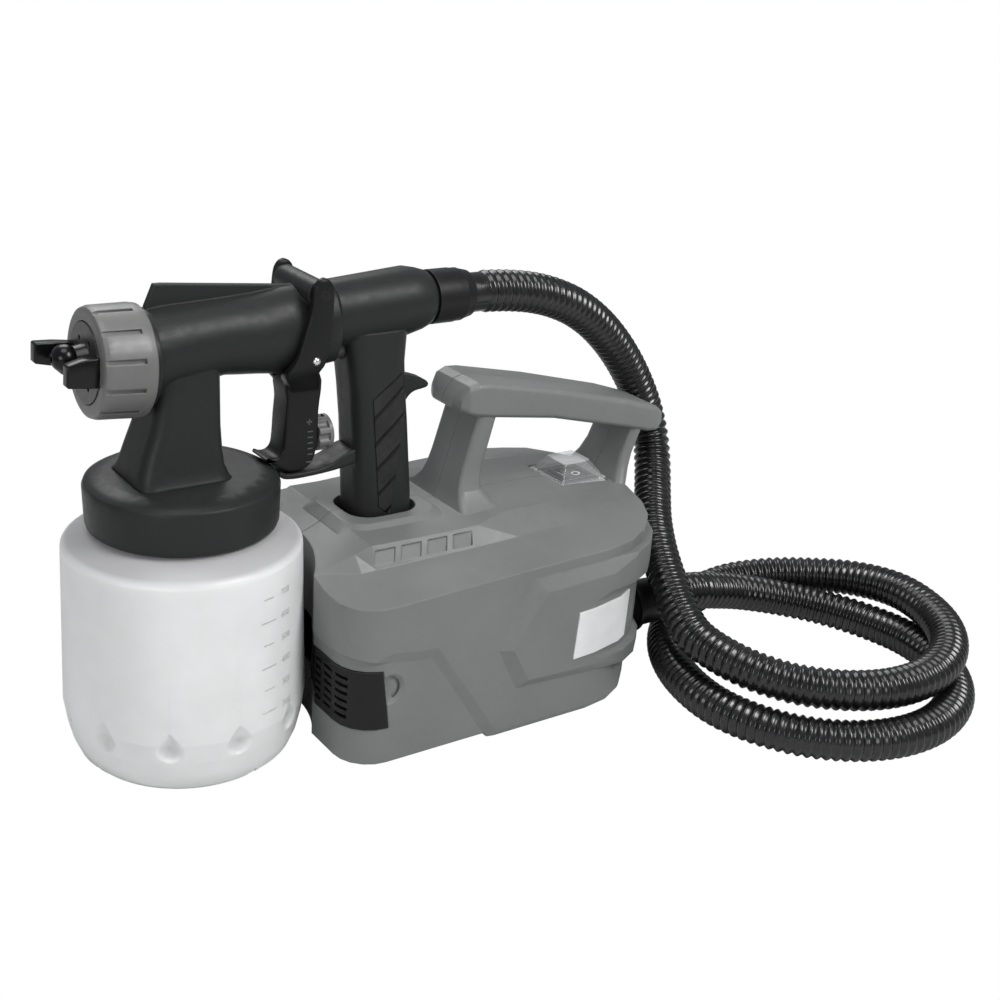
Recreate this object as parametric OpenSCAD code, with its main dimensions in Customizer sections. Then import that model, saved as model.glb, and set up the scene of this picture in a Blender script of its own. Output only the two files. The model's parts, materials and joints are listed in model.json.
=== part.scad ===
// Turbine paint sprayer: a grey blower base with a carrying handle, a cup gun standing
// in its holster, and the air hose that joins them.
// X runs from the nozzle (-X) to the hose end (+X), Z is up, the floor is z = 0 and
// y = 0 is the mid-plane of the gun, the cup and the base. Millimetres.
// The origin lies on the floor below the middle of base and gun. Values along X are
// counted from the middle of the base, and place() moves each sub-part to the origin.

/* [Base housing] */
// Rearmost face of the base at its belt, behind the middle of the base
base_rear = 116.4; // [114:0.4:120]
// Front face of the base, from the middle of the base
base_front = -81; // [-83:1:-80]
// Half the width of the base across its flat sides
base_half = 74.5; // [73:0.5:77]
// Height of the underside of the housing above the floor
base_clear = 1.6; // [1.4:0.2:3]
// Wall thickness of the two housing shells
wall = 3.2; // [3:0.1:3.4]
// Width of the seam between the two housing shells
seam = 0.3; // [0.2:0.1:0.5]
// How far the six-sided side panels stand out
panel_out = 3.2; // [2:0.2:4]
// Depth of the sunk area at the lower front
front_sink = 1.8; // [1.2:0.1:1.8]

/* [Carrying handle] */
// Height of the top of the handle at its front end
handle_top = 165.6; // [162:0.2:168]
// Half the width of the handle bar
handle_half = 18; // [17:0.5:20]

/* [Paint cup] */
// Place of the cup axis along X, from the middle of the base
cup_x = -130; // [-132:0.5:-129]
// Outer radius of the cup
cup_r = 56.6; // [55.6:0.2:58]
// Height of the cup's shoulder
cup_shoulder = 111.5; // [110:0.5:112]
// Wall thickness of the cup
cup_wall = 2; // [1.6:0.1:2.4]
// Gap between the cup and the hollow in the base that it stands in
nest_gap = 4; // [3:0.2:5]
// Radius of the lid at its rim
lid_r = 44.3; // [43:0.1:46]

/* [Gun] */
// Height of the spray axis at the middle of the union nut
spray_z = 193.4; // [190:0.2:196]
// Nose-up tilt of the spray axis, in degrees
pitch = 3; // [2:0.5:4]
// Radius of the union nut
nut_r = 25; // [24:0.5:26]
// Radius of the grip's curved front and back edges
grip_edge = 9; // [7:0.5:10]
// Half the width of the grip
grip_half = 14; // [13.5:0.5:14.5]
// Gap between the grip and the wall of its holster pocket
pocket_gap = 2; // [1.5:0.5:2]

/* [Trigger] */
// Height of the trigger pivot
pivot_z = 218.6; // [217:0.2:220]
// Radius of the trigger pivot pin
pivot_r = 2.5; // [2:0.1:3]
// Radial running clearance of turning and sliding parts
run_gap = 0.06; // [0.03:0.01:0.09]
// Radius of the flow knob
knob_r = 8.5; // [8:0.1:9]
// Length of the flow knob
knob_len = 7.2; // [6.5:0.1:7.4]

/* [Turbine] */
// Place of the motor axis along X, behind the middle of the base
motor_x = 46; // [45:0.5:47]
// Outer radius of the blower casing
casing_r = 50; // [48:0.5:51]
// Radius of the blower fan
fan_r = 44; // [42:0.5:45]
// Number of fan blades
fan_blades = 18; // [12:1:24]
// Radius of the motor shaft
shaft_r = 4; // [3:0.5:4.5]

/* [Hose] */
// Outer diameter of the air hose over its ribs
hose_d = 21; // [20:0.5:21.5]
// Height of the air outlet
outlet_z = 33; // [32.5:0.5:34]
// Distance of the air outlet from the mid-plane
outlet_y = -38; // [-40:0.5:-36]
// Radius of the upper hose turn at the middle of the hose
turn_r = 78; // [77:0.5:79]

/* [Hidden] */
// Middle of the base, behind the origin
base_middle = 21;
far = 400;
top_edge = 90;
round_fn = 64;
small_fn = 32;

// Base: plan outline at each height: z, front x, rear x, half width, front and rear corner
low_rear = base_rear - 8.4;
PLAN = [
  [base_clear, base_front + 1, low_rear - 1, base_half - 0.8, 20, 49],
  [base_clear + 2.5, base_front + 0.2, low_rear - 0.2, base_half - 0.1, 20, 50],
  [21, base_front, low_rear, base_half, 20, 50],
  [24, base_front, low_rear + 3, base_half, 20, 50],
  [66, base_front, low_rear + 4, base_half, 22, 50],
  [90, base_front, base_rear - 1.9, base_half, 24, 50],
  [112, base_front, base_rear - 1.9, base_half, 24, 50]
];
// The same for the raised side panels with the channel round the rear corner
PANEL_PLAN = [
  [20, -40, base_rear - 3.6, base_half + panel_out, 24, 50],
  [31, -40, base_rear - 3.6, base_half + panel_out, 24, 50],
  [34, -40, base_rear - 3.6, base_half + panel_out, 24, 57],
  [65, -40, base_rear - 3.4, base_half + panel_out, 24, 57],
  [69, -40, base_rear, base_half + panel_out, 24, 50],
  [92, -40, base_rear, base_half + panel_out, 24, 50]
];
// Base: top section at each x: x, deck z, deck half width, slope foot z and y, shoulder z and y
TOP = [
  [-95, 84, 30, 81.5, 43, 78, 70],
  [base_front, 90.5, 35, 87.5, 45, 83.5, 71],
  [-62, 99, 40, 92, 47, 86.3, 72],
  [-54, 102.6, 42, 92.4, 47.3, 86.7, 72.5],
  [4, 101.8, 42, 93.7, 48.3, 89, 73],
  [24, 102.6, 34, 94.6, 48.8, 89.8, 73],
  [64, 102.4, 32, 96.4, 49.4, 91, 73],
  [92, 100.6, 31, 97.4, 48, 91.4, 73],
  [104, 99.6, 29, 97, 44, 91.2, 70],
  [111, 99, 25, 96.4, 38, 91, 60],
  [116, 98, 20, 95.4, 31, 90.7, 48],
  [128, 95, 12, 93, 20, 90, 30]
];
panel_top = 84;
panel_bottom = 26;
nest_r = cup_r + nest_gap;
pad_z = 98.8;
pad = [76.4, 108];
pad_half = 16.2;
boot = [77.2, 107.4];
boot_half = 15.2;
rock_x = mix(boot[0], boot[1], 0.5);
rock_z = pad_z - 0.6;

// Holster slot in the deck
slot = [-47.5, -9.5];
slot_half = grip_half + pocket_gap + 0.5;
plateau_z = 104.5;
pocket_floor = 36;

// Handle bar: x, top z below the handle's top, underside z, half-width share
BAR = [
  [8.6, 9.6, 152.4, 0.5],
  [10.8, 5.4, 150.4, 0.78],
  [14.4, 1.6, 148.9, 0.93],
  [19.4, 0.1, 147.8, 1],
  [26, 0.5, 146.6, 1],
  [67, 9, 140.4, 1],
  [116, 21.4, 128.2, 1],
  [132, 26.6, 123.8, 0.98],
  [139, 29.2, 122.8, 0.9],
  [143.6, 31.8, 124.2, 0.75],
  [146, 34.2, 127.4, 0.5]
];
// Handle legs: z, front x, rear x, half width
FRONT_LEG = [
  [99, 4.6, 31, 31],
  [101.5, 5.6, 30, 30],
  [105, 7.6, 26.6, 24],
  [110, 9.4, 23.6, 19.6],
  [116, 11.2, 24, 17.6],
  [122, 13, 25.4, 17],
  [147, 20.4, 32.2, 16.8],
  [154, 22.6, 34.2, 16.8]
];
REAR_LEG = [
  [95.6, 106.6, 114.4, 24.4],
  [99, 108.4, 116.2, 23],
  [106, 112.4, 120.2, 19],
  [113, 115.6, 123.4, 17],
  [126, 121, 128.8, 16.6],
  [131, 123, 130.8, 16.6]
];

// Places of the housing screws: x and z
SCREWS = [[-62, 15], [-16, 15], [103, 13], [-60, 76], [0, 84], [104, 66], [28, 155.5], [126, 131.5]];
screw_r = 2;
screw_head = 3.8;
screw_head_y = 15;

// Gun, along the spray axis: u runs backwards from the middle of the nut
nut_x = -161;
nut_front = -12;
nut_back = 11.6;
cap_r = 17.6;
horn_tip = -27.5;
barrel_rear = -58;
pivot_x = -70.5;
pin_u = 87.5;
pin_r = 2.2;
needle_r = 1.5;
knob_z = 146.5;
knob_x = -64;
hose_axis = 207;

// Cup lid and the cup's neck, which screws into it
lid_wall = 4.4;
neck_fit = 0.4;
neck_r = lid_r - lid_wall - neck_fit;
lid_bottom = cup_shoulder + 2.1;
lid_rim = lid_bottom + 19.4;
lid_top = lid_rim + 5.36;
lid_roof = lid_top - 6.76;
neck_top = lid_roof - 1.6;
lid_land = lid_r - 10.3;
guard_tip = cup_x + lid_r + 0.4;

// Gun sections: x, centre z, half height, half width
BARREL = [
  [-152.5, 193.4, 19.5, 19.5],
  [-147, 194.6, 20.4, 19],
  [-138, 197.2, 18.8, 18],
  [-112, 199.4, 17.6, 17],
  [-96, 199.2, 18.8, 16.8],
  [-83, 199.3, 20.4, 16.6],
  [barrel_rear, 200.2, 20, 16]
];
REAR_BODY = [
  [barrel_rear, 204, 16, 15.4],
  [-17, 206.6, 16.6, 15.6],
  [-10, 206.8, 15, 14.8],
  [-5.5, hose_axis, 13.4, 13.4],
  [-3.5, hose_axis, 11.6, 11.6]
];
// Neck between lid and barrel: z, front x, rear x, half width
NECK = [
  [135, -160, -108, 25],
  [139, -157, -113.4, 20],
  [144, -155.4, -114.8, 17.6],
  [152, -152.8, -115.4, 16.6],
  [162, -149, -115.8, 16],
  [172, -146.4, -115.8, 15.8],
  [190, -145.6, -115.4, 14.6]
];
// Grip: z, front x, rear x, half-width share
GRIP = [
  [44, -40, -16, 0.86],
  [50, -41, -14.6, 0.92],
  [98, -43.6, -12.2, 0.97],
  [110, -44, -12.8, 1],
  [150, -46.2, -16.4, 1],
  [168, -48, -18.4, 1],
  [180, -49.6, -19.2, 1],
  [196, -52, -18, 0.96]
];
// Trigger blade: z, front x, rear x, half width
BLADE = [
  [129.4, -79, -72, 5],
  [131.4, -82.4, -69, 6.2],
  [135.8, -85, -66.2, 7.2],
  [138.4, -83, -65.4, 7.4],
  [143, -80.2, -64.8, 7.4],
  [160, -78.2, -64.2, 7.8],
  [174, -79, -64, 8.4]
];
arm_in = 17.6;
arm_out = 21;

// Return spring, between the needle's shoulder at full pull and its cap
spring_from = 97.6;
spring_to = 111.9;
// Trigger arm beside the barrel: z, front x, rear x, inner and outer y
ARM = [
  [172, -80, -63.4, 2, 9.4],
  [177, -84, -67, 7, 13],
  [181, -87.6, -71, 11, 16.4],
  [186, -86, -69.6, 14.8, 19.4],
  [193, -80.4, -67.4, arm_in - 0.4, arm_out - 0.2],
  [206, -76.6, -66, arm_in, arm_out],
  [pivot_z + 2, -75, -66, arm_in, arm_out]
];
// Feet, as centres in x and y
FEET = [[-62, -52], [-62, 52], [82, -48], [82, 48]];
foot_r = 8;
// Blower casing between these heights
casing_low = 14;
casing_high = 46.6;
// Suction tube: bend below the straight part, and its end, as distances from the cup axis
tube_r = 3;
tube_bend = 36;
tube_foot = [-20, 0, 10];

// Hose route, chosen by hand: from the gun's cuff down to the floor
cuff_end = 18.5;
FALL = [
  [cuff_end + 0.3, 0, hose_axis], [32, 0, 206.8], [46.6, 0.8, 205.4], [61.7, 2.3, 202.6],
  [77.5, 4.6, 197.7], [94, 7.6, 190.3], [110.7, 11.2, 179.7], [126.4, 14.8, 166.6],
  [140.5, 17.8, 151.6], [151.7, 19.4, 136.2], [159.8, 19.2, 120.6], [162.9, 15.5, 105.5],
  [159.9, 7.9, 92.4], [151.5, -4.1, 81], [140, -20.1, 71.4], [129.5, -38.7, 62.2],
  [122.3, -57, 52.5], [117.5, -73.6, 43.3]
];
// The two turns on the floor: centre of the upper and of the lower turn
UPPER = [193, -92];
LOWER = [185, -110];
lower_r = turn_r - 2.5;
turn_step = 20;
// Height of the hose's middle at angles along the turns
RISE = [
  [180, 36.4], [200, 33], [225, 30], [270, 28.4], [315, 29.6], [360, 30], [382, 27],
  [405, 22], [435, 18], [455, 14.6], [472, 12], [488, hose_d / 2], [745, hose_d / 2], [770, 13.5], [790, 18],
  [806, 23]
];
// From the lower turn up to the outlet
RUN_IN = [[174, -36, 27.4], [162, -37.4, 30.8], [149, -38, 32.7], [136.3, -38, outlet_z]];

// A value between two values
function mix(a, b, t) = a + (b - a) * t;
// The value at t in a list of [t, value]
function along(list, t, i = 0) =
  i >= len(list) - 2 || t <= list[i + 1][0]
    ? mix(list[i][1], list[i + 1][1], (t - list[i][0]) / (list[i + 1][0] - list[i][0]))
    : along(list, t, i + 1);
// Points of one rounded corner
function corner(cx, cy, r, from, n) =
  [for (k = [0:n]) let (a = from + 90 * k / n) [cx + r * cos(a), cy + r * sin(a)]];
// A rectangle from x0 to x1 and -h to h, with radius rf at x0 and rb at x1
function box_outline(x0, x1, h, rf, rb, n = 6) = concat(
  corner(x1 - rb, h - rb, rb, 0, n), corner(x0 + rf, h - rf, rf, 90, n),
  corner(x0 + rf, rf - h, rf, 180, n), corner(x1 - rb, rb - h, rb, 270, n)
);
// An outline lifted to height z
function at_z(outline, z) = [for (p = outline) [p[0], p[1], z]];
// A y-z outline moved to x
function at_x(outline, x) = [for (p = outline) [x, p[0], p[1]]];
// An ellipse in y and z
function oval(cz, rz, ry, n) = [for (k = [0:n - 1]) [ry * cos(360 * k / n), cz + rz * sin(360 * k / n)]];

// A solid through rings of equal length, each running anticlockwise as seen from the last ring's end
module skin(rings) {
  n = len(rings[0]);
  m = len(rings);
  points = [for (ring = rings) for (p = ring) p];
  sides = [
    for (j = [0:m - 2]) for (k = [0:n - 1]) let (a = j * n + k, b = j * n + (k + 1) % n)
      each [[a, b + n, b], [a, a + n, b + n]]
  ];
  first = [[for (k = [0:n - 1]) k]];
  last = [[for (k = [n - 1:-1:0]) (m - 1) * n + k]];
  polyhedron(points = points, faces = concat(sides, first, last), convexity = 8);
}
// A list in reverse order
function flip(list) = [for (k = [len(list) - 1:-1:0]) list[k]];
// Moves a sub-part from the middle of the base to the origin
module place() {
  translate([base_middle, 0, 0])
    children();
}

// ---------- base housing ----------

function plan_rings(list, inset, extra = 0) = [
  for (j = [0:len(list) - 1]) let (p = list[j]) at_z(
    box_outline(p[1] + inset, p[2] - inset + extra, p[3] - inset + extra, p[4] - inset, p[5] - inset, 5),
    max(p[0], list[0][0] + inset + 0.2 * j)
  )
];
// Plan form of the base, shrunk by inset
module plan_form(inset = 0) {
  skin(plan_rings(PLAN, inset));
}

// A row of a list of sections at any x
function row_at(list, x, i = 0) =
  i >= len(list) - 2 || x <= list[i + 1][0]
    ? mix(list[i], list[i + 1], (x - list[i][0]) / (list[i + 1][0] - list[i][0]))
    : row_at(list, x, i + 1);
// One side of the top's section, from the deck edge down to the floor
function top_half(t, inset) = [
  [t[2] - inset * 0.5, t[1] - inset],
  [t[4] - inset * 0.8, t[3] - inset],
  [t[6] - inset * 0.3, t[5] - inset],
  [top_edge, t[5] - (top_edge - t[6]) * (t[3] - t[5]) / (t[6] - t[4]) - inset],
  [top_edge, 0]
];
// The bevelled top of the base, lowered and narrowed by inset
module top_form(inset = 0) {
  stations = concat(
    [for (t = TOP) if (t[0] < -50) t[0]],
    [for (x = [-34:20:86]) x],
    [for (t = TOP) if (t[0] > 93) t[0]]
  );
  skin([
    for (x = stations) let (half = top_half(row_at(TOP, x), inset))
      at_x(concat([for (p = half) [-p[0], p[1]]], flip(half)), x)
  ]);
}

// A prism across the base with an outline given in x and z
module side_prism(outline) {
  translate([0, far / 2, 0])
    rotate([90, 0, 0])
      linear_extrude(far)
        polygon(outline);
}

// A block on each side whose outline changes from the face inwards; both lists run anticlockwise
module side_blocks(face, root, y_face, y_root) {
  for (s = [-1, 1]) {
    order = s > 0 ? [for (k = [0:len(face) - 1]) k] : [for (k = [len(face) - 1:-1:0]) k];
    skin([
      for (ring = [[face, y_face], [root, y_root], [root, 1]])
        [for (k = order) [ring[0][k][0], s * ring[1], ring[0][k][1]]]
    ]);
  }
}

// The six-sided panel that stands out of each side and runs round the rear
module side_panels() {
  intersection() {
    skin(plan_rings(PANEL_PLAN, 0));
    side_blocks(
      [[8, 49.3], [18, 31], [60, 29.6], [160, 29.6], [160, 79], [60, 77], [26.6, 75.4]],
      [[0, 49.3], [11.7, panel_bottom], [60, 23.6], [160, 23.6], [160, panel_top + 3],
        [60, panel_top + 1], [18.3, panel_top]],
      base_half + panel_out + 0.5, base_half
    );
  }
}

// The hollow that the cup stands in, grown by extra
module cup_nest(extra = 0) {
  translate([cup_x, 0, -1])
    cylinder(r = nest_r + extra, h = far, $fn = 96);
}

// Sunk area at the lower front of each side, with a slanted border
module front_sink_cut() {
  difference() {
    side_blocks(
      [[-100, 67.6], [-100, -4], [9.6, -4], [-34.6, 61.4], [-42, 61.4], [-79, 67.6]],
      [[-100, 63], [-100, -4], [0.6, -4], [-37.6, 54.4], [-42.6, 54.4], [-79, 60.4]],
      base_half + 0.5, base_half - front_sink
    );
    plan_form(front_sink);
  }
}

// Plain form of the base without panels and handle, shrunk by inset
module base_form(inset = 0) {
  difference() {
    intersection() {
      plan_form(inset);
      top_form(inset);
    }
    cup_nest(inset);
  }
}

// Outer form of the base
module base_outer() {
  difference() {
    intersection() {
      union() {
        plan_form();
        side_panels();
      }
      top_form();
    }
    cup_nest();
    front_sink_cut();
  }
}

// Section of the bar; its corner radii shrink where the bar is low
function bar_ring(b, inset) = let (
  low = b[2] + inset,
  high = handle_top - b[1] - inset,
  f = min(1, (high - low) / 8),
  outline = box_outline(low, high, handle_half * b[3] - inset, 3 * f, 4 * f, 4)
) at_x(flip([for (p = outline) [p[1], p[0]]]), b[0]);
function leg_ring(l, inset, r = 4) =
  at_z(box_outline(l[1] + inset, l[2] - inset, l[3] - inset, r, r, 4), l[0]);

// Handle bar with its two legs
module handle_solid() {
  skin([for (b = BAR) bar_ring(b, 0)]);
  skin([for (l = FRONT_LEG) leg_ring(l, 0)]);
  skin([for (l = REAR_LEG) leg_ring(l, 0, 3.6)]);
}

// Room inside the handle bar
module handle_room() {
  skin([for (j = [2:len(BAR) - 3]) bar_ring(BAR[j], wall)]);
}

function slot_outline(grow) =
  box_outline(slot[0] - grow, slot[1] + grow, slot_half + grow, 12, 12, 8);

// Oval pad round the holster slot
module plateau() {
  skin([
    at_z(slot_outline(12), 96),
    at_z(slot_outline(11.5), plateau_z - 4),
    at_z(slot_outline(6), plateau_z)
  ]);
}

// Walls of the holster pocket
module pocket() {
  translate([0, 0, pocket_floor])
    linear_extrude(plateau_z - pocket_floor - 3)
      polygon(slot_outline(2));
}

module pocket_room() {
  translate([0, 0, pocket_floor + 2])
    linear_extrude(80)
      polygon(slot_outline(0));
}

// Four slanted dents in the slope beside the slot
module slope_dents() {
  for (s = [-1, 1])
    for (k = [0:3])
      translate([-48.5 + 14.5 * k, s * 45.2, 97.6])
        rotate([-s * 61, 0, 0])
          linear_extrude(2, center = true)
            polygon([[-4.4, -3.4 * s], [6.6, -3.4 * s], [4.4, 3.4 * s], [-6.6, 3.4 * s]]);
}

// Opening for the filter cover round one front corner
module filter_region(grow = 0) {
  translate([base_front - 5, -base_half - 5, 0])
    rotate([90, 0, 90])
      linear_extrude(40)
        translate([0, 23 - grow])
          square([66 + grow, 30 + 2 * grow]);
}

// Cuts the filter region off at its slanted rear edge
module filter_limit(grow = 0) {
  side_prism([[-100, 0], [-57.6 + grow, 0], [-64.6 + grow, 62], [-100, 62]]);
}

module filter_zone(grow = 0) {
  intersection() {
    filter_region(grow);
    filter_limit(grow);
  }
}

module screw_holes() {
  for (p = SCREWS)
    translate([p[0], 0, p[1]])
      rotate([-90, 0, 0]) {
        translate([0, 0, -11])
          cylinder(r = screw_r - 0.2, h = 12, $fn = 24);
        cylinder(r = screw_r + 0.2, h = 30, $fn = 24);
        translate([0, 0, screw_head_y])
          cylinder(r = screw_head + 0.3, h = far, $fn = small_fn);
      }
}

module screw_bosses() {
  for (p = SCREWS)
    translate([p[0], 0, p[1]])
      rotate([90, 0, 0])
        cylinder(r = screw_head + 2, h = 180, center = true, $fn = small_fn);
}

// What stands inside the shells; it goes half a millimetre into their walls
module shell_insides() {
  intersection() {
    base_form(wall - 0.5);
    union() {
      screw_bosses();
      // Ledge behind the filter cover
      difference() {
        filter_zone(4);
        base_form(6.4);
      }
      // Pad under the switch
      translate([pad[0] - 3, -pad_half - 3, 94.6])
        cube([pad[1] - pad[0] + 4, 2 * pad_half + 6, 8]);
      // Backing of the finger dent beside the filter cover
      translate([-58, 0, 43])
        rotate([90, 0, 0])
          cylinder(r = 12, h = 2 * base_half - 8, center = true, $fn = small_fn);
      // Stiffening ribs across the floor
      for (x = [-40, 100])
        translate([x, -base_half, 0])
          cube([2, 2 * base_half, 12]);
      pocket();
    }
  }
}

// Both shells in one piece
module shell() {
  difference() {
    union() {
      difference() {
        base_outer();
        base_form(wall);
      }
      shell_insides();
      plateau();
      handle_solid();
    }
    // Hollow between the dent backings
    translate([-72, -base_half + 8, 28])
      cube([28, 2 * base_half - 16, 30]);
    handle_room();
    pocket_room();
    slope_dents();
    screw_holes();
    // Filter cover opening, down to the ledge
    difference() {
      filter_zone(0.25);
      base_form(front_sink + 2.2);
    }
    filter_zone(-3);
    // Finger dent beside the filter cover
    translate([-60, -base_half + front_sink - 11.4, 43])
      sphere(14, $fn = 48);
    // Flat bed and hole of the switch
    translate([pad[0], -pad_half, pad_z])
      cube([pad[1] - pad[0], 2 * pad_half, 10]);
    translate([rock_x - 10.8, -10.4, 90])
      cube([21.6, 20.8, 20]);
    // Air outlet and cord gland
    translate([80, outlet_y, outlet_z])
      rotate([0, 90, 0])
        cylinder(r = 11.3, h = 60, $fn = round_fn);
    translate([80, -outlet_y, outlet_z])
      rotate([0, 90, 0])
        cylinder(r = 6.1, h = 60, $fn = small_fn);
    // Seats of their flanges
    translate([110.5, outlet_y, outlet_z])
      rotate([0, 90, 0])
        cylinder(r = 14.9, h = 30, $fn = round_fn);
    translate([110.5, -outlet_y, outlet_z])
      rotate([0, 90, 0])
        cylinder(r = 9.3, h = 30, $fn = small_fn);
    for (f = FEET)
      translate([f[0], f[1], 0])
        cylinder(r = 2.6, h = 12, $fn = small_fn);
    // Intake slots in the floor
    for (k = [-3:3])
      translate([-32, 9 * k - 1.5, 0])
        cube([12, 3, 5 + wall]);
  }
}

module half_space(side) {
  translate([-far / 2, side > 0 ? seam / 2 : -far - seam / 2, -10])
    cube([far, far, far]);
}

module housing_left() {
  color("DimGray") place() intersection() {
    shell();
    half_space(-1);
  }
}

module housing_right() {
  color("DimGray") place() intersection() {
    shell();
    half_space(1);
  }
}

module housing_screws() {
  color("Silver") place()
    for (k = [0:len(SCREWS) - 1])
      translate([SCREWS[k][0], 0, SCREWS[k][1]])
        rotate([-90, 0, 0])
          difference() {
            union() {
              translate([0, 0, -10])
                cylinder(r = screw_r - 0.25, h = screw_head_y + 10.2, $fn = 24);
              translate([0, 0, screw_head_y])
                cylinder(r1 = screw_head, r2 = screw_head - 0.6, h = 2.4, $fn = small_fn);
            }
            translate([0, 0, screw_head_y + 1])
              for (a = [0, 90])
                rotate([0, 0, a])
                  translate([-2, -0.45, 0])
                    cube([4, 0.9, 2]);
          }
}

module feet() {
  color("Black") place()
    for (f = FEET)
      translate([f[0], f[1], 0])
        rotate_extrude($fn = small_fn)
          polygon([[0, 0], [foot_r - 1.2, 0], [foot_r, 1.2], [foot_r - 0.4, base_clear - 0.02],
            [2.5, base_clear - 0.02], [2.5, base_clear + wall + 0.6], [0, base_clear + wall + 0.6]]);
}

// Bare plate on the side panel
module badge_plate() {
  color("Gainsboro") place() intersection() {
    difference() {
      skin(plan_rings(PANEL_PLAN, 0, 0.8));
      skin(plan_rings(PANEL_PLAN, 0, 0.02));
    }
    side_prism([[45.4, 61.1], [82.4, 63.5], [80.9, 38], [43.6, 35.7]]);
    half_space(-1);
  }
}

module filter_cover() {
  color("Black") place() difference() {
    intersection() {
      difference() {
        base_form(front_sink - 0.5);
        base_form(front_sink + 2.1);
      }
      filter_zone(0);
    }
    // Air slots on the front part
    for (col = [0:2])
      for (row = [0:5])
        translate([base_front - 10, -63 + 10.5 * col, 27.2 + 4 * row])
          cube([24, 8, 1.9]);
  }
}

module filter_foam() {
  color("DarkSlateGray") place() intersection() {
    difference() {
      base_form(front_sink + 2.3);
      base_form(8);
    }
    filter_zone(-3.4);
  }
}

// ---------- switch ----------

module switch_body() {
  color("Black") place() difference() {
    union() {
      translate([rock_x - 10.5, -10.2, 80])
        cube([21, 20.4, 19]);
      translate([rock_x - 12.2, -12, pad_z + 0.02])
        cube([24.4, 24, 1.6]);
      for (k = [-1, 0, 1])
        translate([rock_x - 0.4 + 7 * k, -3, 73])
          cube([0.8, 6, 8]);
    }
    translate([rock_x - 9.6, -7.2, 88])
      cube([19.2, 14.4, 20]);
    translate([rock_x, 0, rock_z])
      rotate([90, 0, 0])
        cylinder(r = 1.5 + run_gap, h = 18, center = true, $fn = 24);
  }
}

module rocker() {
  color("DarkSlateGray") place()
    translate([rock_x, 0, rock_z])
      rotate([0, 8, 0]) {
        rotate([90, 0, 0])
          linear_extrude(13.6, center = true)
            polygon([[-8.6, 2.6], [-4, 1.5], [0, 1.1], [4, 1.5], [8.6, 2.6], [8.2, -1.2], [3, -4.5],
              [-3, -4.5], [-8.2, -1.2]]);
        rotate([90, 0, 0])
          cylinder(r = 1.5, h = 17.6, center = true, $fn = 24);
      }
}

module switch_boot() {
  outer = [
    at_z(box_outline(boot[0], boot[1], boot_half, 2, 2, 3), pad_z + 0.02),
    at_z(box_outline(boot[0], boot[1], boot_half, 2, 2, 3), pad_z + 2.2),
    at_z(box_outline(boot[0] + 1.4, boot[1] - 1.4, boot_half - 1.4, 1.4, 1.4, 3), pad_z + 3),
    at_z(box_outline(boot[0] + 6.2, boot[1] - 7, boot_half - 7.2, 1.4, 1.4, 3), pad_z + 10.8)
  ];
  inner = [
    at_z(box_outline(rock_x - 12.3, rock_x + 12.3, 12.1, 0.2, 0.2, 3), pad_z - 0.1),
    at_z(box_outline(rock_x - 12.3, rock_x + 12.3, 12.1, 0.2, 0.2, 3), pad_z + 3.2),
    at_z(box_outline(boot[0] + 7.4, boot[1] - 8.2, boot_half - 8.4, 0.8, 0.8, 3), pad_z + 9.6)
  ];
  color("White", 0.4) place() difference() {
    skin(outer);
    skin(inner);
  }
}

// ---------- air path, gland and blower ----------

module outlet_spigot() {
  color("DimGray") place()
    translate([0, outlet_y, outlet_z])
      rotate([0, 90, 0])
        rotate_extrude($fn = round_fn)
          polygon([[9, 98.2], [11, 98.2], [11, 110.6], [14.6, 110.6], [14.6, 112.4], [11.2, 113.6],
            [11, 113.6], [11, 124], [9, 124]]);
}

module cord_gland() {
  color("Black") place()
    translate([0, -outlet_y, outlet_z])
      rotate([0, 90, 0])
        rotate_extrude($fn = round_fn)
          polygon([[3.6, 100], [6.6, 100], [6.6, 102.6], [5.9, 102.6], [5.9, 110.6], [9, 110.6], [9, 112.6],
            [6.4, 114.4], [5.6, 121], [3.6, 121]]);
}

module turbine_casing() {
  color("Silver") place()
    difference() {
      union() {
        translate([motor_x, 0, casing_low])
          cylinder(r = casing_r, h = casing_high - casing_low, $fn = 72);
        translate([motor_x, outlet_y, outlet_z])
          rotate([0, 90, 0])
            cylinder(r = 13.4, h = 52, $fn = 48);
        for (a = [90, 210, 330])
          translate([motor_x, 0, casing_low])
            rotate([0, 0, a])
              translate([casing_r - 4, 0, 0])
                cylinder(r = 9, h = 4, $fn = small_fn);
      }
      translate([motor_x, 0, casing_low + 2])
        cylinder(r = casing_r - 2, h = casing_high - casing_low - 4, $fn = 72);
      translate([motor_x, outlet_y, outlet_z])
        rotate([0, 90, 0])
          cylinder(r = 11.04, h = 60, $fn = 48);
      // Intake eye in the bottom and shaft hole in the top
      translate([motor_x, 0, casing_low - 1])
        cylinder(r = 20, h = 4, $fn = 48);
      translate([motor_x, 0, casing_high - 3])
        cylinder(r = 9.5, h = 4, $fn = 48);
    }
}

module turbine_fan() {
  color("Silver") place()
    translate([motor_x, 0, 0]) {
      difference() {
        union() {
          translate([0, 0, 38])
            cylinder(r = fan_r, h = 2, $fn = 72);
          translate([0, 0, 22])
            cylinder(r = 8, h = 17, $fn = 48);
        }
        translate([0, 0, 20])
          cylinder(r = shaft_r + 0.02, h = 30, $fn = 48);
      }
      difference() {
        translate([0, 0, 20])
          cylinder(r = fan_r, h = 1.6, $fn = 72);
        translate([0, 0, 19])
          cylinder(r = 21, h = 4, $fn = 48);
      }
      for (k = [0:fan_blades - 1])
        rotate([0, 0, 360 * k / fan_blades])
          translate([0, 0, 21])
            linear_extrude(17.5)
              polygon([[21.5, 0], [30, 2.6], [fan_r - 0.5, 11], [fan_r - 1.2, 12.2], [29.4, 4], [21.4, 1.4]]);
    }
}

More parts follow.
